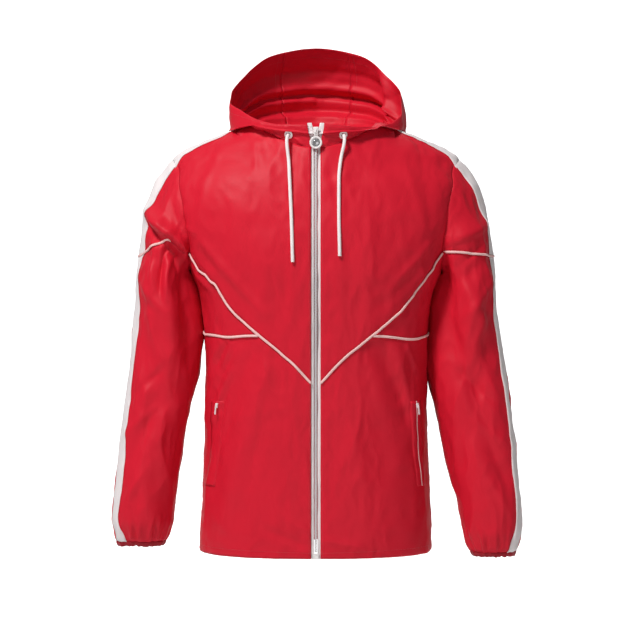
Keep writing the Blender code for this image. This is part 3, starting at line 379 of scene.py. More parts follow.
# The armhole, by turn round it from the shoulder: degrees that it lies from the side line, height.
ARMHOLE = table(
    "--m",
    (0, 0, -48), (20, 8, -53), (45, 21, -78), (80, 30.5, -135), (105, 29.5, -172),
    (125, 24.3, -200), (150, 14, -222), (180, 0, -232),
)
SHOULDER_END, UNDERARM = ARMHOLE[0, 2], ARMHOLE[-1, 2]
ARMHOLE_NOTCH = ARMHOLE[5, 0]  # where the piping meets the armhole
SIDE_MARK = -0.333  # where the level piping meets the side seam
# The piping on the front, from the zip up to the armhole: distance from the centre, height.
DIAGONAL = table("mm", (7.5, -402), (40, -374), (88, -335), (142, -288), (176, -240))
JUNCTION = 2  # its row at which the level piping branches off
# Level rings of each sleeve below its cap: height, middle, half width, forward, half depth.
SLEEVE = {
    RIGHT: table(
        "mmmmm",
        (-666, 282.5, 40, 38, 33), (-655, 282, 43, 37, 40), (-630, 281.5, 50, 34, 51),
        (-569, 273.5, 50.8, 28, 57), (-503, 266, 51, 20, 62), (-438, 256.5, 55, 11, 66),
        (-346, 243.7, 58.1, 1, 70), (-300, 243, 54.1, 0, 72), (-270, 245, 49.6, 0, 72),
    ),
    LEFT: table(
        "mmmmm",
        (-683, 287, 37, 38, 33), (-674, 286.5, 40, 37, 40), (-648, 285.5, 48, 34, 51),
        (-595, 279, 54.5, 28, 57), (-543, 271, 57, 22, 62), (-490, 263, 60, 15, 66),
        (-438, 254.7, 62.3, 8, 69), (-400, 247.5, 63.5, 3, 70), (-346, 244.1, 59.4, 0, 71),
        (-300, 243, 54.5, 0, 72), (-270, 245.2, 49.6, 0, 72),
    ),
}
CUFF = {side: rows[0, 0] for side, rows in SLEEVE.items()}
BICEP = SLEEVE[LEFT][-1, 0]  # height of the ring that ends the sleeve cap
# Folds of each sleeve, with the columns of the body's folds; the front has negative turns.
SLEEVE_FOLDS = {
    RIGHT: table(
        "-m-mmm",
        (-8, -132, -118, -196, 13, 7), (-30, -196, -112, -232, 14, -6),
        (-60, -250, -100, -330, 14, 4), (-35, -280, -70, -400, 16, -3.5),
        (-120, -420, -60, -520, 18, -4), (60, -330, 130, -400, 18, -5),
        (50, -430, 120, -360, 16, 4), (70, -500, 140, -560, 18, -4),
    ),
    LEFT: table(
        "-m-mmm",
        (-20, -150, -115, -184, 13, 4.5), (-50, -215, -115, -250, 14, -5),
        (-70, -270, -110, -390, 15, 4), (-45, -300, -80, -430, 16, -4),
        (-110, -470, -55, -560, 18, -4), (60, -330, 130, -400, 18, -5),
        (50, -430, 120, -360, 16, 4), (70, -500, 140, -560, 18, -4),
    ),
}
# How the back edge of the white tape moves forward down the sleeve cap: fall, turn.
TAPE_TURN = table("--", (0, 0), (0.3, 5), (0.7, -4), (1, -15), (2, -20))
# Steps of the cloth grids along the seams.
CENTRE_TO_JUNCTION, JUNCTION_TO_SIDE = 36, 24
HEM_TO_MARK, MARK_TO_UNDERARM, UNDERARM_TO_NOTCH, NOTCH_TO_TOP = 90, 30, 24, 72
SLEEVE_TOP, BACK_NOTCH, SLEEVE_COLUMNS = UNDERARM_TO_NOTCH + NOTCH_TO_TOP, 140, 164
NECK_PARTS, SHOULDER_PARTS, BACK_NECK_PARTS, TAPE_PARTS = 36, 30, 44, 8
CAP_ROWS, LOWER_CAP_ROWS, TUBE_ROWS, HOOD_ROWS = 40, 15, 112, 54


def armhole(turn):
    """The armhole's place, as (body turn, height)."""
    inward, height = read_off(ARMHOLE, np.abs(turn))
    return 90 + np.sign(turn) * inward, height


def ring(side, turn, height):
    """A place on the sleeve's rings, which lean with its slope."""
    rows, nudge = SLEEVE[side], 0.01
    out, half_width, forward, half_depth = read_off(rows, height)
    slope = (ease(height + nudge, *rows.T[:2]) - ease(height - nudge, *rows.T[:2])) / (2 * nudge)
    s, c = waves(turn)
    across, drop = side * (out + half_width * c), half_width * c * slope * 0.8
    return np.stack([across, half_depth * s - forward, height - drop], axis=-1)


def sleeve_bare(side, turn, fall):
    """The sleeve without folds: fall is 0 at the armhole, 1 below the cap and 2 at its end."""
    turn, fall = paired(turn, fall)
    lower = ring(side, turn, BICEP + np.clip(fall - 1, 0, 1) * (CUFF[side] - BICEP))
    start = body_bare(*armhole(turn)) * (side, 1, 1)
    end = ring(side, turn, np.full(turn.shape, BICEP))
    reach = np.linalg.norm(end - start, axis=-1, keepdims=True)
    s, c = waves(np.interp(np.abs(turn), [0, 60, 90, 180], [40, 48, 55, 70]))
    leave = np.stack([side * c, np.zeros(turn.shape), -s], axis=-1) * 0.87 * reach
    arrive = unit(ring(side, turn, np.full(turn.shape, BICEP - 0.02)) - end) * 1.09 * reach
    t = np.clip(fall, 0, 1)[..., None]
    cap = (2 * t**3 - 3 * t**2 + 1) * start + (3 * t**2 - 2 * t**3) * end
    cap = cap + (t**3 - 2 * t**2 + t) * leave + (t**3 - t**2) * arrive
    return np.where(fall[..., None] > 1, lower, cap)


def sleeve_point(side, turn, fall):
    """A place on the folded sleeve, and its outward normal."""
    turn, fall = paired(turn, fall)
    bare = sleeve_bare(side, turn, fall)
    within = turn, np.clip(fall, 0.01, 1.99)
    normal = facing_of(lambda t, f: sleeve_bare(side, t, f), *within, 0.5, 0.004) * -side
    folds = fold_depth(SLEEVE_FOLDS[side], turn, bare[..., 2], SLEEVE_REACH)
    return raised(bare, normal, folds * np.clip(fall / 0.15, 0, 1)), normal


def columns(side, fall):
    """Turns of the sleeve grid's columns; TAPE_PARTS of them carry the tape."""
    back_edge = middle = float(read_off(TAPE_TURN, fall)[0])
    for _ in range(4):
        step = sleeve_bare(side, middle + 0.5, fall) - sleeve_bare(side, middle - 0.5, fall)
        middle = back_edge - TAPE_WIDTH / 2 / float(np.linalg.norm(step))
    tape = SLEEVE_TOP - TAPE_PARTS, SLEEVE_TOP - TAPE_PARTS // 2, SLEEVE_TOP
    anchors = [0, UNDERARM_TO_NOTCH, *tape, BACK_NOTCH, SLEEVE_COLUMNS]
    tape_turns = 2 * middle - back_edge, middle, back_edge
    turns = [-180, -ARMHOLE_NOTCH, *tape_turns, ARMHOLE_NOTCH, 180]
    return np.interp(np.arange(SLEEVE_COLUMNS + 1), anchors, turns)


def notch_falls(side, turns):
    """How far down the cap the sleeve's level piping crosses each column."""
    steps = np.linspace(0, 1, 80)
    heights = sleeve_bare(side, turns[:, None], steps[None, :])[..., 2]
    levels = ARMHOLE[5, 2] - 0.006 * waves(turns / 1.6)[1] ** 2
    falls = [np.interp(-level, -row, steps) for level, row in zip(levels, heights)]
    return np.where(np.abs(turns) >= ARMHOLE_NOTCH - 1e-6, 0.0, np.array(falls))


def sleeve_grids(side):
    """Turns and falls of the upper sleeve's grid and of the lower one's."""
    seam_turns = columns(side, 0.6)
    for _ in range(3):
        seam_falls = notch_falls(side, seam_turns)
        seam_turns = columns(side, float(seam_falls[SLEEVE_TOP - TAPE_PARTS // 2]))
    top_turns, ring_turns = columns(side, 0.0), columns(side, 1.0)
    over = slice(UNDERARM_TO_NOTCH, BACK_NOTCH + 1)
    shares = np.linspace(0, 1, CAP_ROWS + 1)[:, None]
    upper = (top_turns[over] + shares * (seam_turns - top_turns)[over], shares * seam_falls[over])
    start_turns = top_turns.copy()
    start_turns[over] = seam_turns[over]
    shares = np.linspace(0, 1, LOWER_CAP_ROWS + 2)[:, None]
    tube_falls = 1 + np.linspace(0, 1, TUBE_ROWS + 1)[1:]
    turns = start_turns + shares * (ring_turns - start_turns)
    turns = np.vstack([turns, [columns(side, fall) for fall in tube_falls]])
    falls = seam_falls + shares * (1 - seam_falls)
    falls = np.vstack([falls, np.repeat(tube_falls[:, None], SLEEVE_COLUMNS + 1, axis=1)])
    return upper, (turns, falls)


def lengths(points):
    """How far each point lies along the polyline."""
    return np.concatenate([[0], np.cumsum(np.linalg.norm(np.diff(points, axis=0), axis=1))])


def between(values, along, at):
    return np.stack([np.interp(at, along, column) for column in values.T], axis=1)


def evenly(points, count):
    """The polyline again, as count equal steps."""
    along = lengths(points)
    return between(points, along, np.linspace(0, along[-1], count + 1))


# The seam lines on the bare body, for its left half.
arm_seam = body_bare(*armhole(columns(LEFT, 0.0)))
shoulder_seam = evenly(body_bare(90.0, np.linspace(NECK_TOP, SHOULDER_END, 300)), SHOULDER_PARTS)
across = np.append(DIAGONAL[:, 0], arm_seam[UNDERARM_TO_NOTCH, 0])
fine = np.linspace(across[0], across[-1], 1200)
heights = ease(fine, across, np.append(DIAGONAL[:, 1], armhole(-ARMHOLE_NOTCH)[1]))
points = body_bare(turn_at(fine, heights), heights)
split = int(np.searchsorted(fine, across[JUNCTION]))
lower_diagonal = evenly(points[: split + 1], CENTRE_TO_JUNCTION)
upper_diagonal = evenly(points[split:], MARK_TO_UNDERARM)
upper_diagonal[-1] = arm_seam[UNDERARM_TO_NOTCH]
start, start_turn = upper_diagonal[0], turn_of(upper_diagonal[0])
shares = np.linspace(0, 1, JUNCTION_TO_SIDE + 1)
spread = np.interp(shares, np.linspace(0, 1, 6), [0, 0.26, 0.36, 0.43, 0.70, 1.0])
level_seam = body_bare(start_turn + spread * (90 - start_turn), start[2] + shares * (SIDE_MARK - start[2]))


def side_line(start, end, count):
    return body_bare(90.0, np.linspace(start, end, count + 1))


def neck_line(start, end, count):
    return body_bare(*neck_seam(np.linspace(start, end, count + 1)))


def centre_line(start, end, count, last_steps=0):
    """The front edge upwards; the last steps are as long as those across the tape."""
    kept = end - last_steps * TAPE_WIDTH / TAPE_PARTS
    heights = np.linspace(start, kept, count - last_steps + 1)
    heights = np.concatenate([heights, np.linspace(kept, end, last_steps + 1)[1:]])
    return body_bare(turn_at(ZIP_EDGE, heights), heights)


def with_tape_rows(grid):
    """The upper front's grid, its last rows laid straight beside the shoulder seam."""
    out = grid.copy()
    levels = np.linspace(NECK_TOP - 0.0002, -0.11, 500)
    half_width, front, _, roundness = read_off(BODY, levels)
    slants = np.interp(np.arange(SHOULDER_PARTS) / SHOULDER_PARTS * 5, range(4), (0.011, 0.007, 0.003, 0))
    for row in range(1, TAPE_PARTS + 1):
        ahead = grid[-1 - row, -1, 1]
        for part, slant in enumerate(slants):
            across = shoulder_seam[part, 0] + slant * row * 2 / TAPE_PARTS
            filled = (across / half_width) ** roundness + (-ahead / front) ** roundness
            out[-1 - row, NECK_PARTS + part] = (across, ahead, np.interp(-1.0, -filled, levels))
    return out


def patch(bottom, right, top, left):
    """A grid between four seam lines that meet at their ends."""
    u = np.linspace(0, 1, len(bottom))[None, :, None]
    v = np.linspace(0, 1, len(left))[:, None, None]
    grid = (1 - v) * bottom[None] + v * top[None] + (1 - u) * left[:, None] + u * right[:, None]
    grid -= (1 - u) * ((1 - v) * bottom[0] + v * top[0]) + u * ((1 - v) * bottom[-1] + v * top[-1])
    grid[0], grid[-1], grid[:, 0], grid[:, -1] = bottom, top, left, right
    return grid


def nylon(name, colour):
    """Thin woven nylon: a faint weave, fine crumple and slightly uneven colour."""
    made = material(name, colour, 0.50)
    place = outputs(made, "TexCoord", {})
    cloud = outputs(made, "TexNoise", {"Vector": place["Object"], "Scale": 14.0, "Detail": 3.0})
    dark, light = ([min(1, c * share) for c in colour] + [1] for share in (0.93, 1.06))
    tint = outputs(made, "Mix", {"Factor": cloud["Fac"], "A": dark, "B": light}, data_type="RGBA")
    rough = {"Scale": 42.0, "Detail": 5.0, "Roughness": 0.55, "Distortion": 0.6}
    rumple = outputs(made, "TexNoise", {"Vector": place["Object"], **rough})
    soft = outputs(made, "Bump", {"Height": rumple["Fac"], "Strength": 0.35, "Distance": 0.0012})
    threads = {"Vector": place["UV"], "Scale": 1 / 0.0009 / 2 / math.pi}
    ribs = [outputs(made, "TexWave", threads, bands_direction=axis)["Fac"] for axis in "XY"]
    weave = outputs(made, "Math", {0: ribs[0], 1: ribs[1]}, operation="MULTIPLY")
    bump = {"Height": weave["Value"], "Normal": soft["Normal"], "Strength": 0.25, "Distance": 0.00008}
    normal = outputs(made, "Bump", bump)["Normal"]
    surface(made, {"Specular IOR Level": 0.16, "Base Color": tint["Result"], "Normal": normal})
    return made


red_nylon = nylon("red_nylon", (0.63, 0.010, 0.028))


def shell(name, outer, normals, finish, thick=CLOTH, loop=False):
    """A thin closed shell of cloth with UVs in metres; outer is its outside, row by row."""
    steps = [np.linalg.norm(np.diff(outer, axis=k), axis=2).mean(axis=1 - k) for k in (0, 1)]
    along, around = [np.concatenate([[0], np.cumsum(step)]) for step in steps]
    if loop:
        outer, normals = outer[:, :-1], normals[:, :-1]
    rows, cols = outer.shape[:2]
    inside = rows * cols
    points = np.concatenate([outer.reshape(-1, 3), (outer - normals * thick).reshape(-1, 3)])
    r, c = np.meshgrid(np.arange(rows - 1), np.arange(cols if loop else cols - 1), indexing="ij")
    corners = (r, c), (r, c + 1), (r + 1, c + 1), (r + 1, c)
    quads = np.stack([i * cols + j % cols for i, j in corners], axis=-1).reshape(-1, 4)
    uv = np.stack([np.stack([around[j], along[i]], -1) for i, j in corners], axis=2).reshape(-1, 4, 2)
    numbers = np.arange(rows * cols).reshape(rows, cols)
    ends, sides, rims = [numbers[0], numbers[-1]], [numbers[:, 0], numbers[:, -1]], []
    for edge in ends if loop else ends + sides:
        a, b = (edge, np.roll(edge, -1)) if loop else (edge[:-1], edge[1:])
        rims.append(np.stack([a, b, b + inside, a + inside], axis=-1))
    rims = np.concatenate(rims)
    faces = np.concatenate([quads, (quads + inside)[:, ::-1], rims])
    thing = shaped_mesh(name, points, faces.tolist(), finish)
    uv = np.concatenate([uv, uv[:, ::-1], np.zeros((len(rims), 4, 2))])
    thing.data.uv_layers.new(name="cloth").data.foreach_set("uv", uv.reshape(-1).astype(np.float32))
    work = bmesh.new()
    work.from_mesh(thing.data)
    bmesh.ops.recalc_face_normals(work, faces=work.faces[:])
    work.to_mesh(thing.data)
    work.free()
    return thing


def cloth(name, outer, normals, node, finish=red_nylon, slot="shell", thick=CLOTH, loop=False):
    """A cut piece of cloth, made as a shell that stands for its node of the frame."""
    piece = placed(shell(name, outer, normals, finish, thick, loop), slot, node)


# Creases finer than the folds, with the same columns.
BODY_CREASES = table(
    "-m-mmm",
    (-50, -190, -26, -300, 8, 3.4), (-60, -215, -40, -320, 7, -3.4),
    (-70, -150, -52, -172, 6, 2.2), (-84, -140, -66, -190, 6, -2.6),
    (-66, -236, -54, -262, 5, 3), (50, -190, 34, -270, 8, 3), (62, -205, 46, -300, 7, -3),
    (78, -130, 64, -200, 6, -2.4), (-20, -180, -26, -340, 10, 1.8),
    (-31, -120, -34, -240, 11, 1.6), (20, -160, 27, -330, 10, 1.8),
    (33, -150, 30, -250, 10, -1.6), (8, -90, 14, -330, 7, 1.6), (-8, -110, -12, -330, 7, 1.6),
    (5.5, -70, 9, -150, 4, -1.8), (-7.5, -56, -10, -120, 4, -1.8),
    (-38, -356, -62, -470, 7, 5.6), (-31, -360, -56, -540, 8, -5),
    (-24, -385, -46, -640, 10, 3.8), (-48, -350, -72, -430, 5, -4.4),
    (-44, -348, -52, -385, 4, 2.4), (-60, -500, -70, -660, 10, 2.4),
    (34, -352, 50, -460, 7, -4.8), (40, -352, 56, -500, 7, 3.4), (29, -380, 42, -540, 9, 2.4),
    (44, -400, 47, -440, 5, -2.6), (48, -348, 60, -400, 5, 2.4), (16, -420, 26, -670, 10, 1.8),
    (-12, -430, -20, -660, 10, 1.8), (4.5, -440, 8, -455, 3, 1.4), (4.5, -505, 8, -525, 3, 1.4),
    (-4.5, -470, -8, -490, 3, 1.4), (4, -655, 22, -668, 6, 2.6), (-4, -665, -24, -640, 7, -2.4),
    (-4, -640, -16, -622, 6, 1.8), (72, -345, 84, -480, 8, 2.6), (170, -60, 150, -200, 10, 2.6),
    (-170, -60, -150, -200, 10, 2.6), (180, -80, 182, -300, 12, -2),
    (110, -260, 150, -330, 9, 2.8), (-110, -260, -150, -330, 9, 2.8),
    (120, -400, 165, -500, 10, 2.2), (-120, -430, -165, -540, 10, 2.2),
    (100, -420, 120, -640, 10, -2.4), (-100, -420, -120, -640, 10, -2.4),
)
# How the folds drag the cloth along itself: turn, height, how far they reach round and up, and
# the shift round and up.
BODY_DRAGS = table(
    "-m-mmm",
    (-42, -270, 14, 30, 0, 10.5), (-60, -222, 10, 16, 0, -6), (-48.5, -270, 3.5, 16, 0, 14),
    (-54.5, -252, 4, 14, 0, 7), (-46, -331, 9, 12, 0, -3.2), (-88, -333, 10, 12, 0, 4.2),
    (46, -246, 8, 16, 2, 3), (55, -225, 7, 12, 0, -6), (36, -290, 5, 12, -2.2, 0),
    (53, -335, 15, 14, 0, -7), (88, -335, 8, 12, 0, 2), (4, -402, 9, 30, 0, -4.5),
    (-4, -402, 9, 30, 0, -4.5), (-15, -365, 4, 10, 0, -1.2), (14, -360, 4, 10, 0, 1.2),
)


def crumple(points, scale, seed):
    """Ridged noise that is at most 0.38, the same on every run."""
    places = points.reshape(-1, 3) * scale + (seed, 0, 0)
    values = [1 - 2 * abs(noise.noise(Vector(place))) for place in places]
    return (np.array(values) - 0.62).reshape(points.shape[:-1])


def edge_distance(grid, loop):
    """How far each point lies from the grid's nearest seam."""
    nearest = np.inf
    for axis in (0,) if loop else (0, 1):
        steps = np.cumsum(np.linalg.norm(np.diff(grid, axis=axis), axis=2), axis=axis)
        along = np.concatenate([np.zeros_like(steps.take([0], axis)), steps], axis=axis)
        nearest = np.minimum(nearest, np.minimum(along, along.take([-1], axis) - along))
    return nearest


def sewn(points, normals, loop=False, pucker=0.0007):
    """The panel's edges pulled in at their seams, with small puckers beside them."""
    away = edge_distance(points, loop)
    depth = pucker * crumple(points, (95, 95, 95), 3.7) * (away / 0.006) * np.exp(1 - away / 0.006)
    return raised(points, normals, depth - 0.0009 * np.exp(-((away / 0.0032) ** 2)))


def body_cloth(turn, height):
    """A place on the creased cloth of the body, and its outward normal."""
    turn, height = paired(turn, height)
    around, up = np.zeros(turn.shape), np.zeros(turn.shape)
    for at_turn, at_height, reach_round, reach_up, shift_round, shift_up in BODY_DRAGS:
        pull = np.exp(-(((turn - at_turn) / reach_round) ** 2) - ((height - at_height) / reach_up) ** 2)
        around, up = around + pull * shift_round, up + pull * shift_up
    turn, height = turn + np.degrees(around / BODY_REACH), height + up
    points, normals = body_point(turn, height)
    rise = fold_depth(BODY_CREASES, turn, height, BODY_REACH)
    rise = rise + 0.0021 * crumple(points, (24, 24, 9), 1.3) + 0.0012 * crumple(points, (52, 52, 30), 4.9)
    return raised(points, normals, rise), normals


steps = [np.linspace(0, 5, CENTRE_TO_JUNCTION + 1), np.linspace(5, 10, JUNCTION_TO_SIDE + 1)[1:]]
hem_shares = [0, 0.075, 0.15, 0.225, 0.30, 0.375, 0.56, 0.70, 0.735, 0.86, 1.0]
hem_shares = np.interp(np.concatenate(steps), range(11), hem_shares)
hem_start = turn_at(ZIP_EDGE, HEM)
front_grids = {
    "lower": patch(
        body_bare(hem_start + hem_shares * (90 - hem_start), HEM),
        side_line(HEM, SIDE_MARK, HEM_TO_MARK),
        np.concatenate([lower_diagonal, level_seam[1:]]),
        centre_line(HEM, DIAGONAL[0, 1], HEM_TO_MARK),
    ),
    "side": patch(
        level_seam, side_line(SIDE_MARK, UNDERARM, MARK_TO_UNDERARM),
        arm_seam[UNDERARM_TO_NOTCH::-1], upper_diagonal,
    ),
    "upper": with_tape_rows(patch(
        np.concatenate([lower_diagonal, upper_diagonal[1:]]),
        arm_seam[UNDERARM_TO_NOTCH : SLEEVE_TOP + 1],
        np.concatenate([neck_line(4.0, 90.0, NECK_PARTS), shoulder_seam[1:]]),
        centre_line(DIAGONAL[0, 1], NECK_FRONT, NOTCH_TO_TOP, TAPE_PARTS),
    )),
}
fronts = {}
for side, name in SIDE_NAME.items():
    for part, grid in front_grids.items():
        points, normals = body_cloth(turn_of(grid) * side, grid[..., 2])
        fronts[part, side] = points, normals = sewn(points, normals), normals
        cloth(f"{part}_front_{name}", points, normals, f"front_{part}_{name}")

side_edge = np.concatenate([
    side_line(HEM, SIDE_MARK, HEM_TO_MARK), side_line(SIDE_MARK, UNDERARM, MARK_TO_UNDERARM)[1:],
    arm_seam[: SLEEVE_TOP - 1 : -1][1:],
])
half_top = np.concatenate([shoulder_seam[::-1], neck_line(90.0, 180.0, BACK_NECK_PARTS // 2)[1:]])
MIRROR = (-1, 1, 1)
hem = body_bare(np.linspace(90, 270, 2 * SHOULDER_PARTS + BACK_NECK_PARTS + 1), HEM)
top = np.concatenate([half_top, (half_top * MIRROR)[-2::-1]])
grid = patch(hem, side_edge * MIRROR, top, side_edge)
points, back_normals = body_cloth(turn_of(grid), grid[..., 2])
back_points = sewn(points, back_normals)
cloth("back_panel", back_points, back_normals, "back")

# Creases of each sleeve, with the columns of its folds.
SLEEVE_CREASES = {
    RIGHT: table(
        "-m-mmm",
        (-28, -134, -80, -171, 9, 8), (-80, -171, -130, -209, 9, 8),
        (-32, -156, -84, -191, 8, -10), (-84, -191, -124, -224, 9, -13),
        (-100, -260, -104, -390, 14, 4.5), (-132, -240, -136, -370, 18, -8),
        (-95, -400, -60, -540, 18, -5), (-60, -200, -72, -260, 7, 3.6),
        (-80, -200, -86, -262, 6, -5), (-98, -214, -94, -280, 7, 4.6),
        (-70, -110, -100, -170, 6, 1.6), (-20, -230, -95, -300, 8, 2.5),
        (-60, -300, -110, -430, 9, 2), (-100, -380, -40, -440, 8, -2.2),
        (-90, -450, -30, -500, 8, 2.2), (-95, -540, -45, -620, 9, 1.8),
        (20, -300, 70, -420, 10, 2), (100, -380, 30, -440, 9, -2), (150, -440, 70, -500, 9, 2.2),
    ),
    LEFT: table(
        "-m-mmm",
        (-145, -235, -95, -400, 20, -8.5), (-100, -250, -55, -330, 14, 4),
        (-95, -400, -60, -560, 18, -6), (-25, -155, -110, -190, 7, 2.4),
        (-50, -190, -110, -225, 6, -2.6), (-30, -240, -100, -310, 8, 2.2),
        (-65, -310, -105, -440, 9, 2), (-110, -390, -50, -450, 8, -2.2),
        (-95, -470, -35, -520, 8, 2.2), (-90, -560, -50, -640, 9, 1.8),
        (20, -300, 70, -420, 10, 2), (100, -380, 30, -440, 9, -2), (150, -440, 70, -500, 9, 2.2),
    ),
}
GATHERS = 15
TOUCH_END = {RIGHT: -0.352, LEFT: -0.415}  # the sleeves rest against the body down to here


def bell(values, middle, width):
    return np.exp(-(((values - middle) / width) ** 2))


def ramp(values, start, end):
    """From 0 at the start to 1 at the end."""
    return np.clip((values - start) / (end - start), 0, 1)


def near_seam(points, normals, side, seam, near):
    """Cloth that follows the creased body where it is sewn to it; near is 1 at the seam."""
    body_turn, height = seam
    cloth_points, facing = body_cloth(side * body_turn, height)
    shift = cloth_points - body_bare(side * body_turn, height)
    near = near[..., None] ** 2
    return points + shift * near, unit(normals * (1 - near) + facing * near)


def sleeve_cloth(side, turn, fall):
    """A place on the creased cloth of a sleeve, and its outward normal."""
    turn, fall = paired(turn, fall)
    if side == RIGHT:  # the cloth under the big drape fold is dragged up
        pull = 0.15 * bell(turn, -84, 26) + 0.075 * bell(turn, -45, 24)
        fall = fall - pull * bell(fall, 0.5, 0.26)
    points, normals = sleeve_point(side, turn, fall)
    points, normals = near_seam(points, normals, side, armhole(turn), np.clip(1 - fall / 0.3, 0, 1))
    height = points[..., 2]
    creases = 1.25 * fold_depth(SLEEVE_CREASES[side], turn, height, SLEEVE_REACH)
    rough = 0.0028 * crumple(points, (22, 22, 9), 6.1) + 0.0013 * crumple(points, (50, 50, 26), 2.2)
    rise = (creases + rough) * ramp(fall, 0, 0.15)
    # The inner side is pressed against the body, most of all in the armpit.
    press = ramp(np.abs(turn), 150, 170) * ramp(height, TOUCH_END[side], TOUCH_END[side] + 0.03)
    rise = rise + press * (0.0036 + 0.0044 * bell(height, -0.240, 0.028)) * ramp(fall, 0.05, 0.25)
    # Gathers above the elastic.
    above = height - CUFF[side]
    gather = ramp(above, 0.050, 0) * (0.30 + 0.70 * ramp(above, 0, 0.012))
    angle = np.radians(turn)
    wave = np.sin(angle * GATHERS + 1.3 * np.sin(angle * 3 + side))
    wave = wave + 0.45 * np.sin(angle * (GATHERS * 2 - 5) + 2.0)
    return raised(points, normals, rise + 0.0026 * wave * gather**1.3), normals


# The cuff band is the red nylon darkened to half: painted shade, standing for the dark edge of the cuff.
shaded_cuff_nylon = nylon("shaded_cuff_nylon", (0.33, 0.010, 0.020))
sleeves = {}
for side, name in SIDE_NAME.items():
    grids = {part: sleeve_cloth(side, *grid) for part, grid in zip(("upper", "lower"), sleeve_grids(side))}
    for part, (points, normals) in grids.items():
        loop = part == "lower"
        points = sewn(points, normals, loop, 0 if loop else 0.0007)
        sleeves[part, side] = points, normals
        cloth(f"{part}_sleeve_{name}", points, normals, f"sleeve_{part}_{name}", loop=loop)
    down = np.linspace(0.0004, 0.0094, 9)[:, None, None]
    bulge = 0.0002 + 0.0010 * np.sin(np.pi * (down - 0.0004) / 0.009)
    band = points[-1] + unit(points[-1] - points[-4]) * down + normals[-1] * bulge
    band_normals = np.repeat(normals[-1][None], len(down), axis=0)
    piece = shell(f"cuff_band_{name}", band, band_normals, shaded_cuff_nylon, 0.0020, loop=True)
    placed(piece, "elastic", f"cuff_{name}")


# ---- Hood ----
# Two side panels and a strip between them, in the same nylon, standing open round the neck,
# with level slack folds inside its back.
HOOD_CENTRE_TURN = 163.0  # where the middle strip begins
HOOD_HEIGHT = 0.18  # from seam to rim, for its creases
SAG = 0.011  # how far its sides droop between seam and rim
# Creases of the hood, with the same columns: the wearer's left has positive turns.
HOOD_CREASES = table(
    "-m-mmm",
    (134, 172, 116, 30, 13, -18), (112, 155, 94, 40, 18, 9), (-100, 60, -125, 150, 16, -5),
    (-120, 112, 180, 104, 7, 4), (122, 112, 180, 104, 7, 4), (-128, 78, -180, 70, 7, 4.5),
    (128, 78, 180, 70, 7, 4.5), (-60, 45, -90, 110, 12, 3.5), (60, 45, 88, 90, 12, 3.5),
    (34, 10, 30, 60, 7, 3), (42, 6, 47, 50, 6, -2.6), (54, 4, 60, 40, 6, 2.2),
    (16, 4, 14, 45, 6, -2.2), (-14, 6, -18, 50, 6, 2.2), (-36, 6, -40, 55, 7, 3),
    (-46, 4, -53, 45, 6, -2.4), (-62, 6, -68, 50, 7, 2.2),
)
# How far the rim has slipped down on the wearer's left: turn, drop.
HOOD_SLIP = table("-m", (20, 0), (30, 2), (55, 10), (75, 22), (90, 16), (112, 0))


def hood_cloth(side, turn, rise):
    """A place on the creased cloth of the hood, and its outward normal."""
    turn, rise = paired(turn, rise)
    points, normals = hood_point(side, turn, rise)
    depth = fold_depth(HOOD_CREASES, turn * side, rise * HOOD_HEIGHT, HOOD_REACH)
    depth = depth + 0.0016 * crumple(points, (20, 20, 34), 9.4)
    creased = raised(points, normals, depth * ramp(rise, 0, 0.08) * ramp(rise, 1.02, 0.94))
    points, normals = near_seam(creased, normals, side, neck_seam(turn), np.clip(1 - rise / 0.2, 0, 1))
    points[..., 2] -= SAG * np.interp(turn, (60, 80, 105, 130), (0, 1, 1, 0)) * 4 * rise * (1 - rise)
    if side == LEFT:
        points[..., 2] -= np.interp(turn, *HOOD_SLIP.T) * rise**2
    # It rests on the shoulder, which falls away behind its ridge and in front of it.
    out, away = np.abs(points[..., 0]), np.abs(points[..., 1])
    resting = np.interp(out, shoulder_seam[:, 0], shoulder_seam[:, 2]) - 0.2 * away + 0.003
    points[..., 2] += np.clip(resting - points[..., 2], 0, None) * ramp(out, 0.097, 0.106)
    return points, normals


rises = np.linspace(0, 1, HOOD_ROWS + 1)[:, None]
side_turns = np.concatenate([np.linspace(4, 90, 60), np.linspace(90, HOOD_CENTRE_TURN, 50)[1:]])
hoods = {}
for side, name in SIDE_NAME.items():
    points, normals = hood_cloth(side, side_turns, rises)
    hoods[side] = points, normals = sewn(points, normals), normals
    cloth(f"side_hood_{name}", points, normals, f"hood_side_{name}")
half_turns = np.linspace(HOOD_CENTRE_TURN, 180, 16)
halves = [hood_cloth(side, half_turns, rises) for side in SIDE_NAME]
for middle in halves[0]:
    middle[:, -1, 0] = 0
joined = [np.concatenate([left, right[:, -2::-1]], axis=1) for left, right in zip(*halves)]
strip, strip_normals = sewn(*joined), joined[1]
cloth("centre_hood", strip, strip_normals, "hood_centre")


# ---- White tape, piping and stitching ----
# One plain broad woven tape along each shoulder and down each sleeve, sewn on along both edges,
# and cord piping in the V, the level seams and the sleeve seams. Thread is laid stitch by stitch.
def woven(name, colour, pitch):
    """Matt white woven tape with a fine rib."""
    made = material(name, colour, 0.75, 0.15)
    place = outputs(made, "TexCoord", {})["Object"]
    ribs = {"Vector": place, "Scale": 1 / pitch / 2 / math.pi, "Distortion": 0.4}
    wave = outputs(made, "TexWave", ribs, bands_direction="DIAGONAL")["Fac"]
    bump = outputs(made, "Bump", {"Height": wave, "Strength": 0.35, "Distance": 0.00015})
    surface(made, {"Normal": bump["Normal"]})
    return made


white_tape = woven("white_tape", (0.80, 0.73, 0.73), 0.0011)
thread_red = material("thread_red", (0.50, 0.015, 0.03), 0.6, 0.2)
thread_white = material("thread_white", (0.80, 0.74, 0.73), 0.6, 0.2)
STITCH_PITCH, STITCH_LENGTH, THREAD = 0.0030, 0.0021, 0.0005
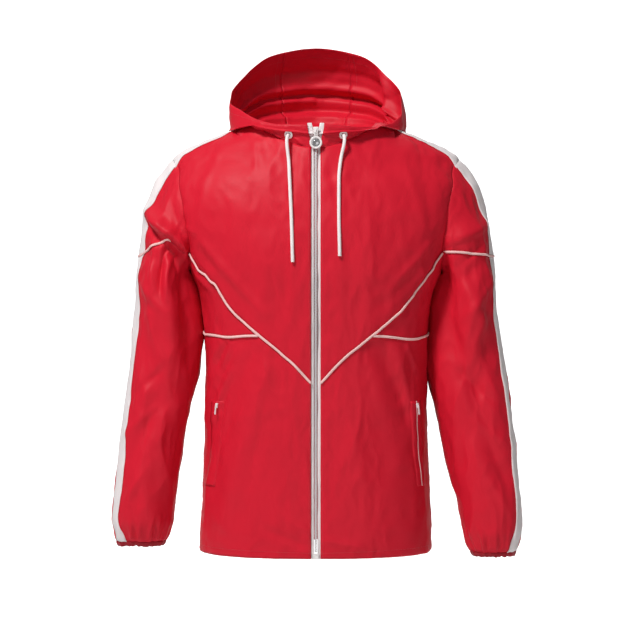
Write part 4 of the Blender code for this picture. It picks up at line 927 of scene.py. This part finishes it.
# One stitch: a low bead, as shares of its length, its width and its height.
BEAD = np.array([
    (-0.5, 0, -0.2), (-0.28, -0.5, 0), (0.28, -0.5, 0), (0.5, 0, -0.2),
    (0.28, 0.5, 0), (-0.28, 0.5, 0), (-0.25, 0, 0.75), (0.25, 0, 0.75),
])
BEAD_FACES = (0, 1, 6), (1, 2, 7, 6), (2, 3, 7), (3, 4, 7), (4, 5, 6, 7), (5, 0, 6), (0, 5, 4, 3, 2, 1)


def stitches(name, lines, finish, slot):
    """Lockstitch along lines that lie on the cloth, evenly spaced."""
    points, faces = [], []
    for line, normals in lines:
        along, step = lengths(line), STITCH_PITCH * 0.3
        count = max(2, int(along[-1] / STITCH_PITCH))
        at = (np.arange(count) + 0.5) * along[-1] / count
        spots, facing = between(line, along, at), unit(between(normals, along, at))
        ways = unit(between(line, along, at + step) - between(line, along, at - step))
        for spot, way, across, up in zip(spots, ways, np.cross(ways, facing), facing):
            faces += [tuple(len(points) + i for i in face) for face in BEAD_FACES]
            points += list(spot + BEAD @ (way * STITCH_LENGTH, across * THREAD, up * THREAD))
    placed(shaped_mesh(name, points, faces, finish), slot)


tape_lines = []
for side, name in SIDE_NAME.items():
    cap_tape = np.s_[:, NOTCH_TO_TOP - TAPE_PARTS : NOTCH_TO_TOP + 1]
    tube_tape = np.s_[:, SLEEVE_TOP - TAPE_PARTS : SLEEVE_TOP + 1]
    tapes = {
        "shoulder": (fronts["upper", side], np.s_[-1 - TAPE_PARTS :, NECK_PARTS + 1 :]),
        "upper_sleeve": (sleeves["upper", side], cap_tape),
        "lower_sleeve": (sleeves["lower", side], tube_tape),
    }
    for part, ((points, normals), cut) in tapes.items():
        outer, facing = points[cut] + normals[cut] * 0.0013, normals[cut]
        cloth(f"tape_{part}_{name}", outer, facing, f"{part}_tape_{name}", white_tape, "white_cloth", 0.0008)
        if part != "shoulder":
            outer, facing = outer.swapaxes(0, 1), facing.swapaxes(0, 1)
        tape_lines += [(outer[1], facing[1]), (outer[-2], facing[-2])]
stitches("tape_stitching", tape_lines, thread_white, "white_cloth")

piping_cloth = woven("piping_cloth", (0.86, 0.52, 0.50), 0.0009)


def piping(name, points, normals, *nodes, finish=piping_cloth, width=0.0040, height=0.0021):
    """Covered cord along a seam: a fat half-round bead with a slight wobble."""
    across = unit(np.cross(unit(np.gradient(points, axis=0)), normals))
    wobble = 1 + 0.05 * np.sin(np.arange(len(points)) * 2.1)[:, None]
    rings = []
    for angle in np.linspace(-0.25 * math.pi, 1.25 * math.pi, 12):
        up = 0.0004 + height * (0.35 + 0.65 * math.sin(angle))
        rings.append(points + across * width / 2 * math.cos(angle) * wobble + normals * up)
    count, sides = len(points), len(rings)
    faces = [tuple(range(sides))[::-1], tuple((count - 1) * sides + i for i in range(sides))]
    for row in range(0, (count - 1) * sides, sides):
        for c in range(sides):
            d = (c + 1) % sides
            faces.append((row + c, row + d, row + sides + d, row + sides + c))
    piece = shaped_mesh(name, np.stack(rings, axis=1).reshape(-1, 3), faces, finish)
    placed(piece, "white_cloth", *nodes)


diagonal_piping = evenly(np.concatenate([lower_diagonal, upper_diagonal[1:]]), 150)[:-2]
level_piping = evenly(level_seam, 70)[1:-1]
for side, name in SIDE_NAME.items():
    for part, line in (("diagonal", diagonal_piping), ("level", level_piping)):
        points, normals = body_cloth(turn_of(line) * side, line[:, 2])
        piping(f"pipe_{part}_{name}", points, normals, f"piping_{part}_{name}")
    turns, falls = (grid[0, UNDERARM_TO_NOTCH + 1 : BACK_NOTCH] for grid in sleeve_grids(side)[1])
    points, normals = sleeve_cloth(side, turns, falls)
    if side == RIGHT:  # the big drape fold lies over the seam's front third
        points = raised(points, normals, -0.0075 * ramp(-turns, 84, 90))
    piping(f"pipe_sleeve_{name}", points, normals, f"piping_sleeve_{name}")

# Topstitching: the hem, the hood's rim and centre strip, the neck seam and the folded front edges.
# A row or a column of a grid is sewn on its outside, or through to its inside.
red_lines = []


def sew(grid, normals, *places, inside=False):
    for place in places:
        line, facing = grid[place], normals[place]
        red_lines.append((line - facing * CLOTH, -facing) if inside else (line, facing))


for side in SIDE_NAME:
    sew(*fronts["lower", side], 3, np.s_[:, 1])
    sew(*fronts["upper", side], np.s_[:, 1])
    sew(*hoods[side], 1, -5, np.s_[:, -2])
    sew(*hoods[side], -5, np.s_[:, -3], inside=True)
sew(back_points, back_normals, 3)
sew(strip, strip_normals, np.s_[:, 1], np.s_[:, -2], -5)
sew(strip, strip_normals, -5, inside=True)
stitches("red_stitching", red_lines, thread_red, "shell")


# ---- Front zip ----
# A moulded-tooth zip: white tapes behind the folded front edges, grey-white teeth, a slider with
# a round pull hanging from its bridge, and a retaining box at the hem.
def plastic(name, colour, roughness, metallic=0.0):
    """Moulded plastic or coated metal, with faint wear in its gloss."""
    made = material(name, colour, roughness)
    place = outputs(made, "TexCoord", {})["Object"]
    grain = outputs(made, "TexNoise", {"Vector": place, "Scale": 900.0, "Detail": 2.0})["Fac"]
    wear = {"Value": grain, "To Min": roughness - 0.06, "To Max": roughness + 0.10}
    gloss = outputs(made, "MapRange", wear)["Result"]
    bump = outputs(made, "Bump", {"Height": grain, "Strength": 0.15, "Distance": 0.00005})["Normal"]
    surface(made, {"Metallic": metallic, "Roughness": gloss, "Normal": bump})
    return made


white_plastic = plastic("white_plastic", (0.84, 0.79, 0.78), 0.34)
tooth_plastic = plastic("tooth_plastic", (0.60, 0.57, 0.58), 0.38)
pull_metal = plastic("pull_metal", (0.50, 0.49, 0.50), 0.22, 0.85)

ZIP_TOP = 0.003  # how far the tapes stand above the hood's rim
ZIP_TAPE_DEPTH = 0.0022  # the tapes' outer face lies this far behind the cloth's
# The tapes near their top: height, inner edge, outer edge.
TAPE_SHAPE = table("mmm", (-12, 2.9, 15), (-2, 5.4, 15), (3, 6.6, 12.8))


def up_the_front(grids, column):
    """A column of the lower front, the upper front and the hood, end to end, and its end again."""
    ends = grids[-1][-1:, column]
    return np.concatenate([grid[:-1, column] for grid in grids] + [ends, ends])


for side, name in SIDE_NAME.items():
    grids, facings = zip(fronts["lower", side], fronts["upper", side], hoods[side])
    edge = up_the_front(grids, 0)
    onward, facing = up_the_front(grids, 4) - edge, up_the_front(facings, 0)
    edge[-1, 2] += ZIP_TOP
    height, inner_edge, outer_edge = TAPE_SHAPE.T
    inner = edge.copy()
    inner[:, 0] = side * np.interp(edge[:, 2], height, inner_edge)
    reach = np.interp(edge[:, 2], height, outer_edge) - np.abs(edge[:, 0])
    outer = raised(edge, unit(onward), reach)
    rows = np.stack([inner, inner * 0.6 + edge * 0.4, edge, (edge + outer) / 2, outer], axis=1)
    facing = np.repeat(unit(facing * (0, 1, 1))[:, None], 5, axis=1)
    rows = rows - facing * ZIP_TAPE_DEPTH
    cloth(f"front_zip_tape_{name}", rows, facing, f"zip_tape_{name}", white_tape, "white_cloth", 0.0009)


def zip_line(across, heights):
    """Places level with the front edges, and their normals."""
    across, heights = paired(across, heights)
    back = np.interp(heights, edge[:, 2], edge[:, 1])
    slope = np.interp(heights, edge[:, 2], np.gradient(edge[:, 1], edge[:, 2]))
    normals = np.stack([np.zeros(heights.shape), np.full(heights.shape, -1.0), slope], axis=-1)
    return np.stack([across, back, heights], axis=-1), unit(normals)


def primitive(kind, scale=(1, 1, 1), **options):
    """A new primitive at its size and place, as the start of a piece."""
    bpy.ops.object.select_all(action="DESELECT")
    getattr(bpy.ops.mesh, f"primitive_{kind}_add")(**options)
    bpy.context.object.scale = scale
    bpy.ops.object.transform_apply(location=True, rotation=True, scale=True)
    return bpy.context.object


def cube(sides, location=(0, 0, 0)):
    return primitive("cube", sides, size=1, location=location)


def torus(radius, thickness, scale=(1, 1, 1), segments=(56, 16), **options):
    options.update(major_radius=radius, minor_radius=thickness)
    return primitive("torus", scale, major_segments=segments[0], minor_segments=segments[1], **options)


def bevelled(thing, width, segments=3):
    change = thing.modifiers.new("bevel", "BEVEL")
    change.width, change.segments, change.limit_method = width, segments, "ANGLE"
    bpy.context.view_layer.objects.active = thing
    bpy.ops.object.modifier_apply(modifier="bevel")
    return thing


def narrowed(thing, level, share, above=False):
    """The end of a part below a level, or above it, made narrower."""
    for vertex in thing.data.vertices:
        if (vertex.co.y > level) == above:
            vertex.co.x *= share


def grown(thing, beyond, *steps, axis=2):
    """Its faces beyond a level on an axis, inset and pushed out in edit mode, step by step."""
    bpy.ops.object.select_all(action="DESELECT")
    thing.select_set(True)
    bpy.context.view_layer.objects.active = thing
    mesh = thing.data
    for group in (mesh.vertices, mesh.edges, mesh.polygons):
        group.foreach_set("select", [False] * len(group))
    for face in mesh.polygons:
        if face.center[axis] > beyond:
            face.select = True
            for v in face.vertices:
                mesh.vertices[v].select = True
    bpy.ops.object.mode_set(mode="EDIT")
    bpy.ops.mesh.select_mode(type="FACE")
    for inset, push in steps:
        bpy.ops.mesh.inset(thickness=inset)
        move = [push if k == axis else 0 for k in range(3)]
        bpy.ops.mesh.extrude_region_move(TRANSFORM_OT_translate={"value": move})
    bpy.ops.object.mode_set(mode="OBJECT")


def fitting(name, things, places, finish, *nodes, body="jacket"):
    """One hard piece from shaped parts, each set at every (centre, right, up, out)."""
    points, faces, count = [], [], 0
    for thing in things:
        local = np.array([v.co[:] for v in thing.data.vertices])
        for centre, *axes in places:
            points.append(centre + local @ np.array(axes))
            faces += [tuple(count + v for v in face.vertices) for face in thing.data.polygons]
            count += len(local)
        bpy.data.objects.remove(thing)
    placed(shaped_mesh(name, np.concatenate(points), faces, finish), "hard_white", *nodes, body=body)


RIGHTWARD, UPWARD, OUTWARD = np.array([1.0, 0, 0]), np.array([0, 0, 1.0]), np.array([0, -1.0, 0])
QUARTER = (0, math.pi / 2, 0)  # turns an upright ring or rod on its side

TOOTH_PITCH, TOOTH_DEPTH, TEETH_TOP = 0.0024, -0.0012, -0.0195
for across, lowest, name, nodes in ((-0.0009, -0.6735, "R", ["zip_chain"]), (0.0009, -0.6723, "L", [])):
    tooth = cube((0.0030, 0.00125, 0.0017))
    grown(tooth, 0.001, (0.00022, 0.00045), axis=0)
    bevelled(tooth, 0.00022, 2)
    spots, facing = zip_line(across, np.arange(lowest, TEETH_TOP, TOOTH_PITCH))
    towards = -np.sign(across)
    ways = np.cross(RIGHTWARD, facing)
    ways = ways * np.sign(ways[:, 2:]) * towards
    spots = spots + facing * TOOTH_DEPTH
    places = [(spot, RIGHTWARD * towards, up, out) for spot, up, out in zip(spots, ways, facing)]
    fitting(f"zip_teeth_{name}", [tooth], places, tooth_plastic, *nodes)

ZIP_BAR = np.array([0.0, -0.1037, -0.0115])  # the pull's hinge
PULL_DROP = 0.0176  # from the hinge to the round pull's centre
slider = cube((0.0086, 0.0146, 0.0022))
narrowed(slider, 0, 0.72)
grown(slider, 0.001, (0.0009, 0.0006))
bevelled(slider, 0.0006)
bridge = torus(0.0030, 0.00085, (0.9, 1.15, 0.85), (28, 12), rotation=QUARTER, location=(0, 0, 0.0010))
slider_place = (ZIP_BAR - OUTWARD * 0.0022, RIGHTWARD, UPWARD, OUTWARD)
fitting("slider_body", [slider, bridge], [slider_place], white_plastic, "zip_slider")

pull_place = (ZIP_BAR, RIGHTWARD, UPWARD, OUTWARD)
ring_part = torus(0.0084, 0.0017, (1, 1, 0.62), (64, 16), location=(0, -PULL_DROP, 0.0004))
arms = [bevelled(cube((0.0014, 0.0088, 0.0013), (x, -0.0050, 0.0003)), 0.0004) for x in (-0.0021, 0.0021)]
turned = {"rotation": QUARTER, "location": (0, -0.0004, 0.0002)}
rod = bevelled(primitive("cylinder", radius=0.0006, depth=0.0052, vertices=20, **turned), 0.00015, 2)
foot = bevelled(cube((0.0058, 0.0016, 0.0013), (0, -0.0093, 0.0003)), 0.0005)
pull_parts = [ring_part, *arms, rod, foot]
fitting("round_pull", pull_parts, [pull_place], white_plastic, "zip_pull", body="zip_pull")
disc = primitive("cylinder", radius=0.0074, depth=0.0007, vertices=56, location=(0, -PULL_DROP, 0.0002))
grown(disc, 0.0004, (0.0014, -0.0003), (0.0024, 0.0006))
bevelled(disc, 0.00015, 2)
fitting("pull_disc", [disc], [pull_place], pull_metal, body="zip_pull")

box = cube((0.0090, 0.0090, 0.0035))
grown(box, 0.001, (0.0012, -0.0004))
bevelled(box, 0.0006)
spot, facing = zip_line(0.0, -0.6805)
box_place = (spot + facing * 0.0002, RIGHTWARD, UPWARD, OUTWARD)
fitting("retaining_box", [box], [box_place], white_plastic, "zip_box")


# ---- Pocket zips ----
# A concealed zip on each lower front: two narrow folded lips of the shell cloth with a thin coil
# between them, and a small white slider whose tab hangs free.
POCKET_ROWS, POCKET_COLUMNS, COIL_COLUMN = slice(28, 64), slice(44, 53), 48
LIP = (0.0004, 0.0008, 0.0011, 0.0012)  # how far the lips rise from their outer edges inwards
# The tab's hinge, the way along its pin, and the way it hangs.
POCKET_HINGES = {
    LEFT: ((0.16389, -0.07990, -0.44745), (0.67073, 0.73329, 0.11140), (0.08276, 0.07526, -0.99372)),
    RIGHT: ((-0.16001, -0.07662, -0.44751), (0.67129, -0.73383, -0.10420), (-0.07790, 0.06994, -0.99450)),
}
# The gap's rise and how deep the coil lies: the lips are closed over it on the wearer's right.
POCKET_GAP = {LEFT: (0.0003, 0.0), RIGHT: (0.0016, 0.0009)}
coil_plastic = plastic("coil_plastic", (0.78, 0.50, 0.50), 0.5)
for side, name in SIDE_NAME.items():
    points, normals = (grid[POCKET_ROWS] for grid in fronts["lower", side])
    gap, depth = POCKET_GAP[side]
    facing = normals[:, POCKET_COLUMNS]
    lips = raised(points[:, POCKET_COLUMNS], facing, np.array([*LIP, gap, *LIP[::-1]])[None, :])
    cloth(f"pocket_welt_{name}", lips, facing, f"pocket_zip_{name}", thick=0.0009)
    normal = normals[:, COIL_COLUMN]
    coil = points[:, COIL_COLUMN] - normal * depth
    piping(f"pocket_coil_{name}", coil, normal, finish=coil_plastic, width=0.0015, height=0.0013)
    hinge, along, down = np.array(POCKET_HINGES[side])
    out = unit(np.cross(along, -down))
    place = (hinge, along, -down, out * -np.sign(out[1]))
    body = cube((0.0050, 0.0078, 0.0024), (0, 0.0008, -0.0020))
    narrowed(body, 0.0008, 0.74)
    bevelled(body, 0.0005)
    hoop = torus(0.0014, 0.00045, segments=(20, 8), rotation=QUARTER, location=(0, 0.0002, -0.0006))
    fitting(f"pocket_slider_body_{name}", [body, hoop], [place], white_plastic, f"pocket_slider_{name}")
    tab = cube((0.0030, 0.0140, 0.0010), (0, -0.0065, 0))
    narrowed(tab, -0.0065, 0.7, above=True)
    grown(tab, 0.0004, (0.0005, -0.0002))
    bevelled(tab, 0.0002, 2)
    node = f"pocket_pull_{name}"
    fitting(f"pocket_tab_{name}", [tab], [place], white_plastic, node, body=node)


# ---- Eyelets ----
# A pressed ring on each side of the hood's front, and a near-black recessed disc in the hole that the cord
# leaves: painted shadow, standing for the dark hole.
# Near-black plastic for the disc in each eyelet: painted shadow for the shade inside the hole.
hole_shadow_paint = plastic("hole_shadow_paint", (0.05, 0.01, 0.012), 0.6)
for side, name in SIDE_NAME.items():
    spot, facing = hood_cloth(side, EYELET_TURN, EYELET_RISE)
    across = unit(np.cross(facing, UPWARD))
    place = (spot + facing * 0.0003, across, np.cross(facing, across), facing)
    flange = torus(0.00515, 0.00185, (1, 1, 0.6), location=(0, 0, 0.0004))
    fitting(f"eyelet_ring_{name}", [flange], [place], white_plastic, f"eyelet_{name}")
    hole_shadow_disc = primitive("cylinder", radius=0.0040, depth=0.0006, vertices=40)
    grown(hole_shadow_disc, 0.0002, (0.0006, -0.0003))
    fitting(f"eyelet_barrel_{name}", [hole_shadow_disc], [place], hole_shadow_paint)
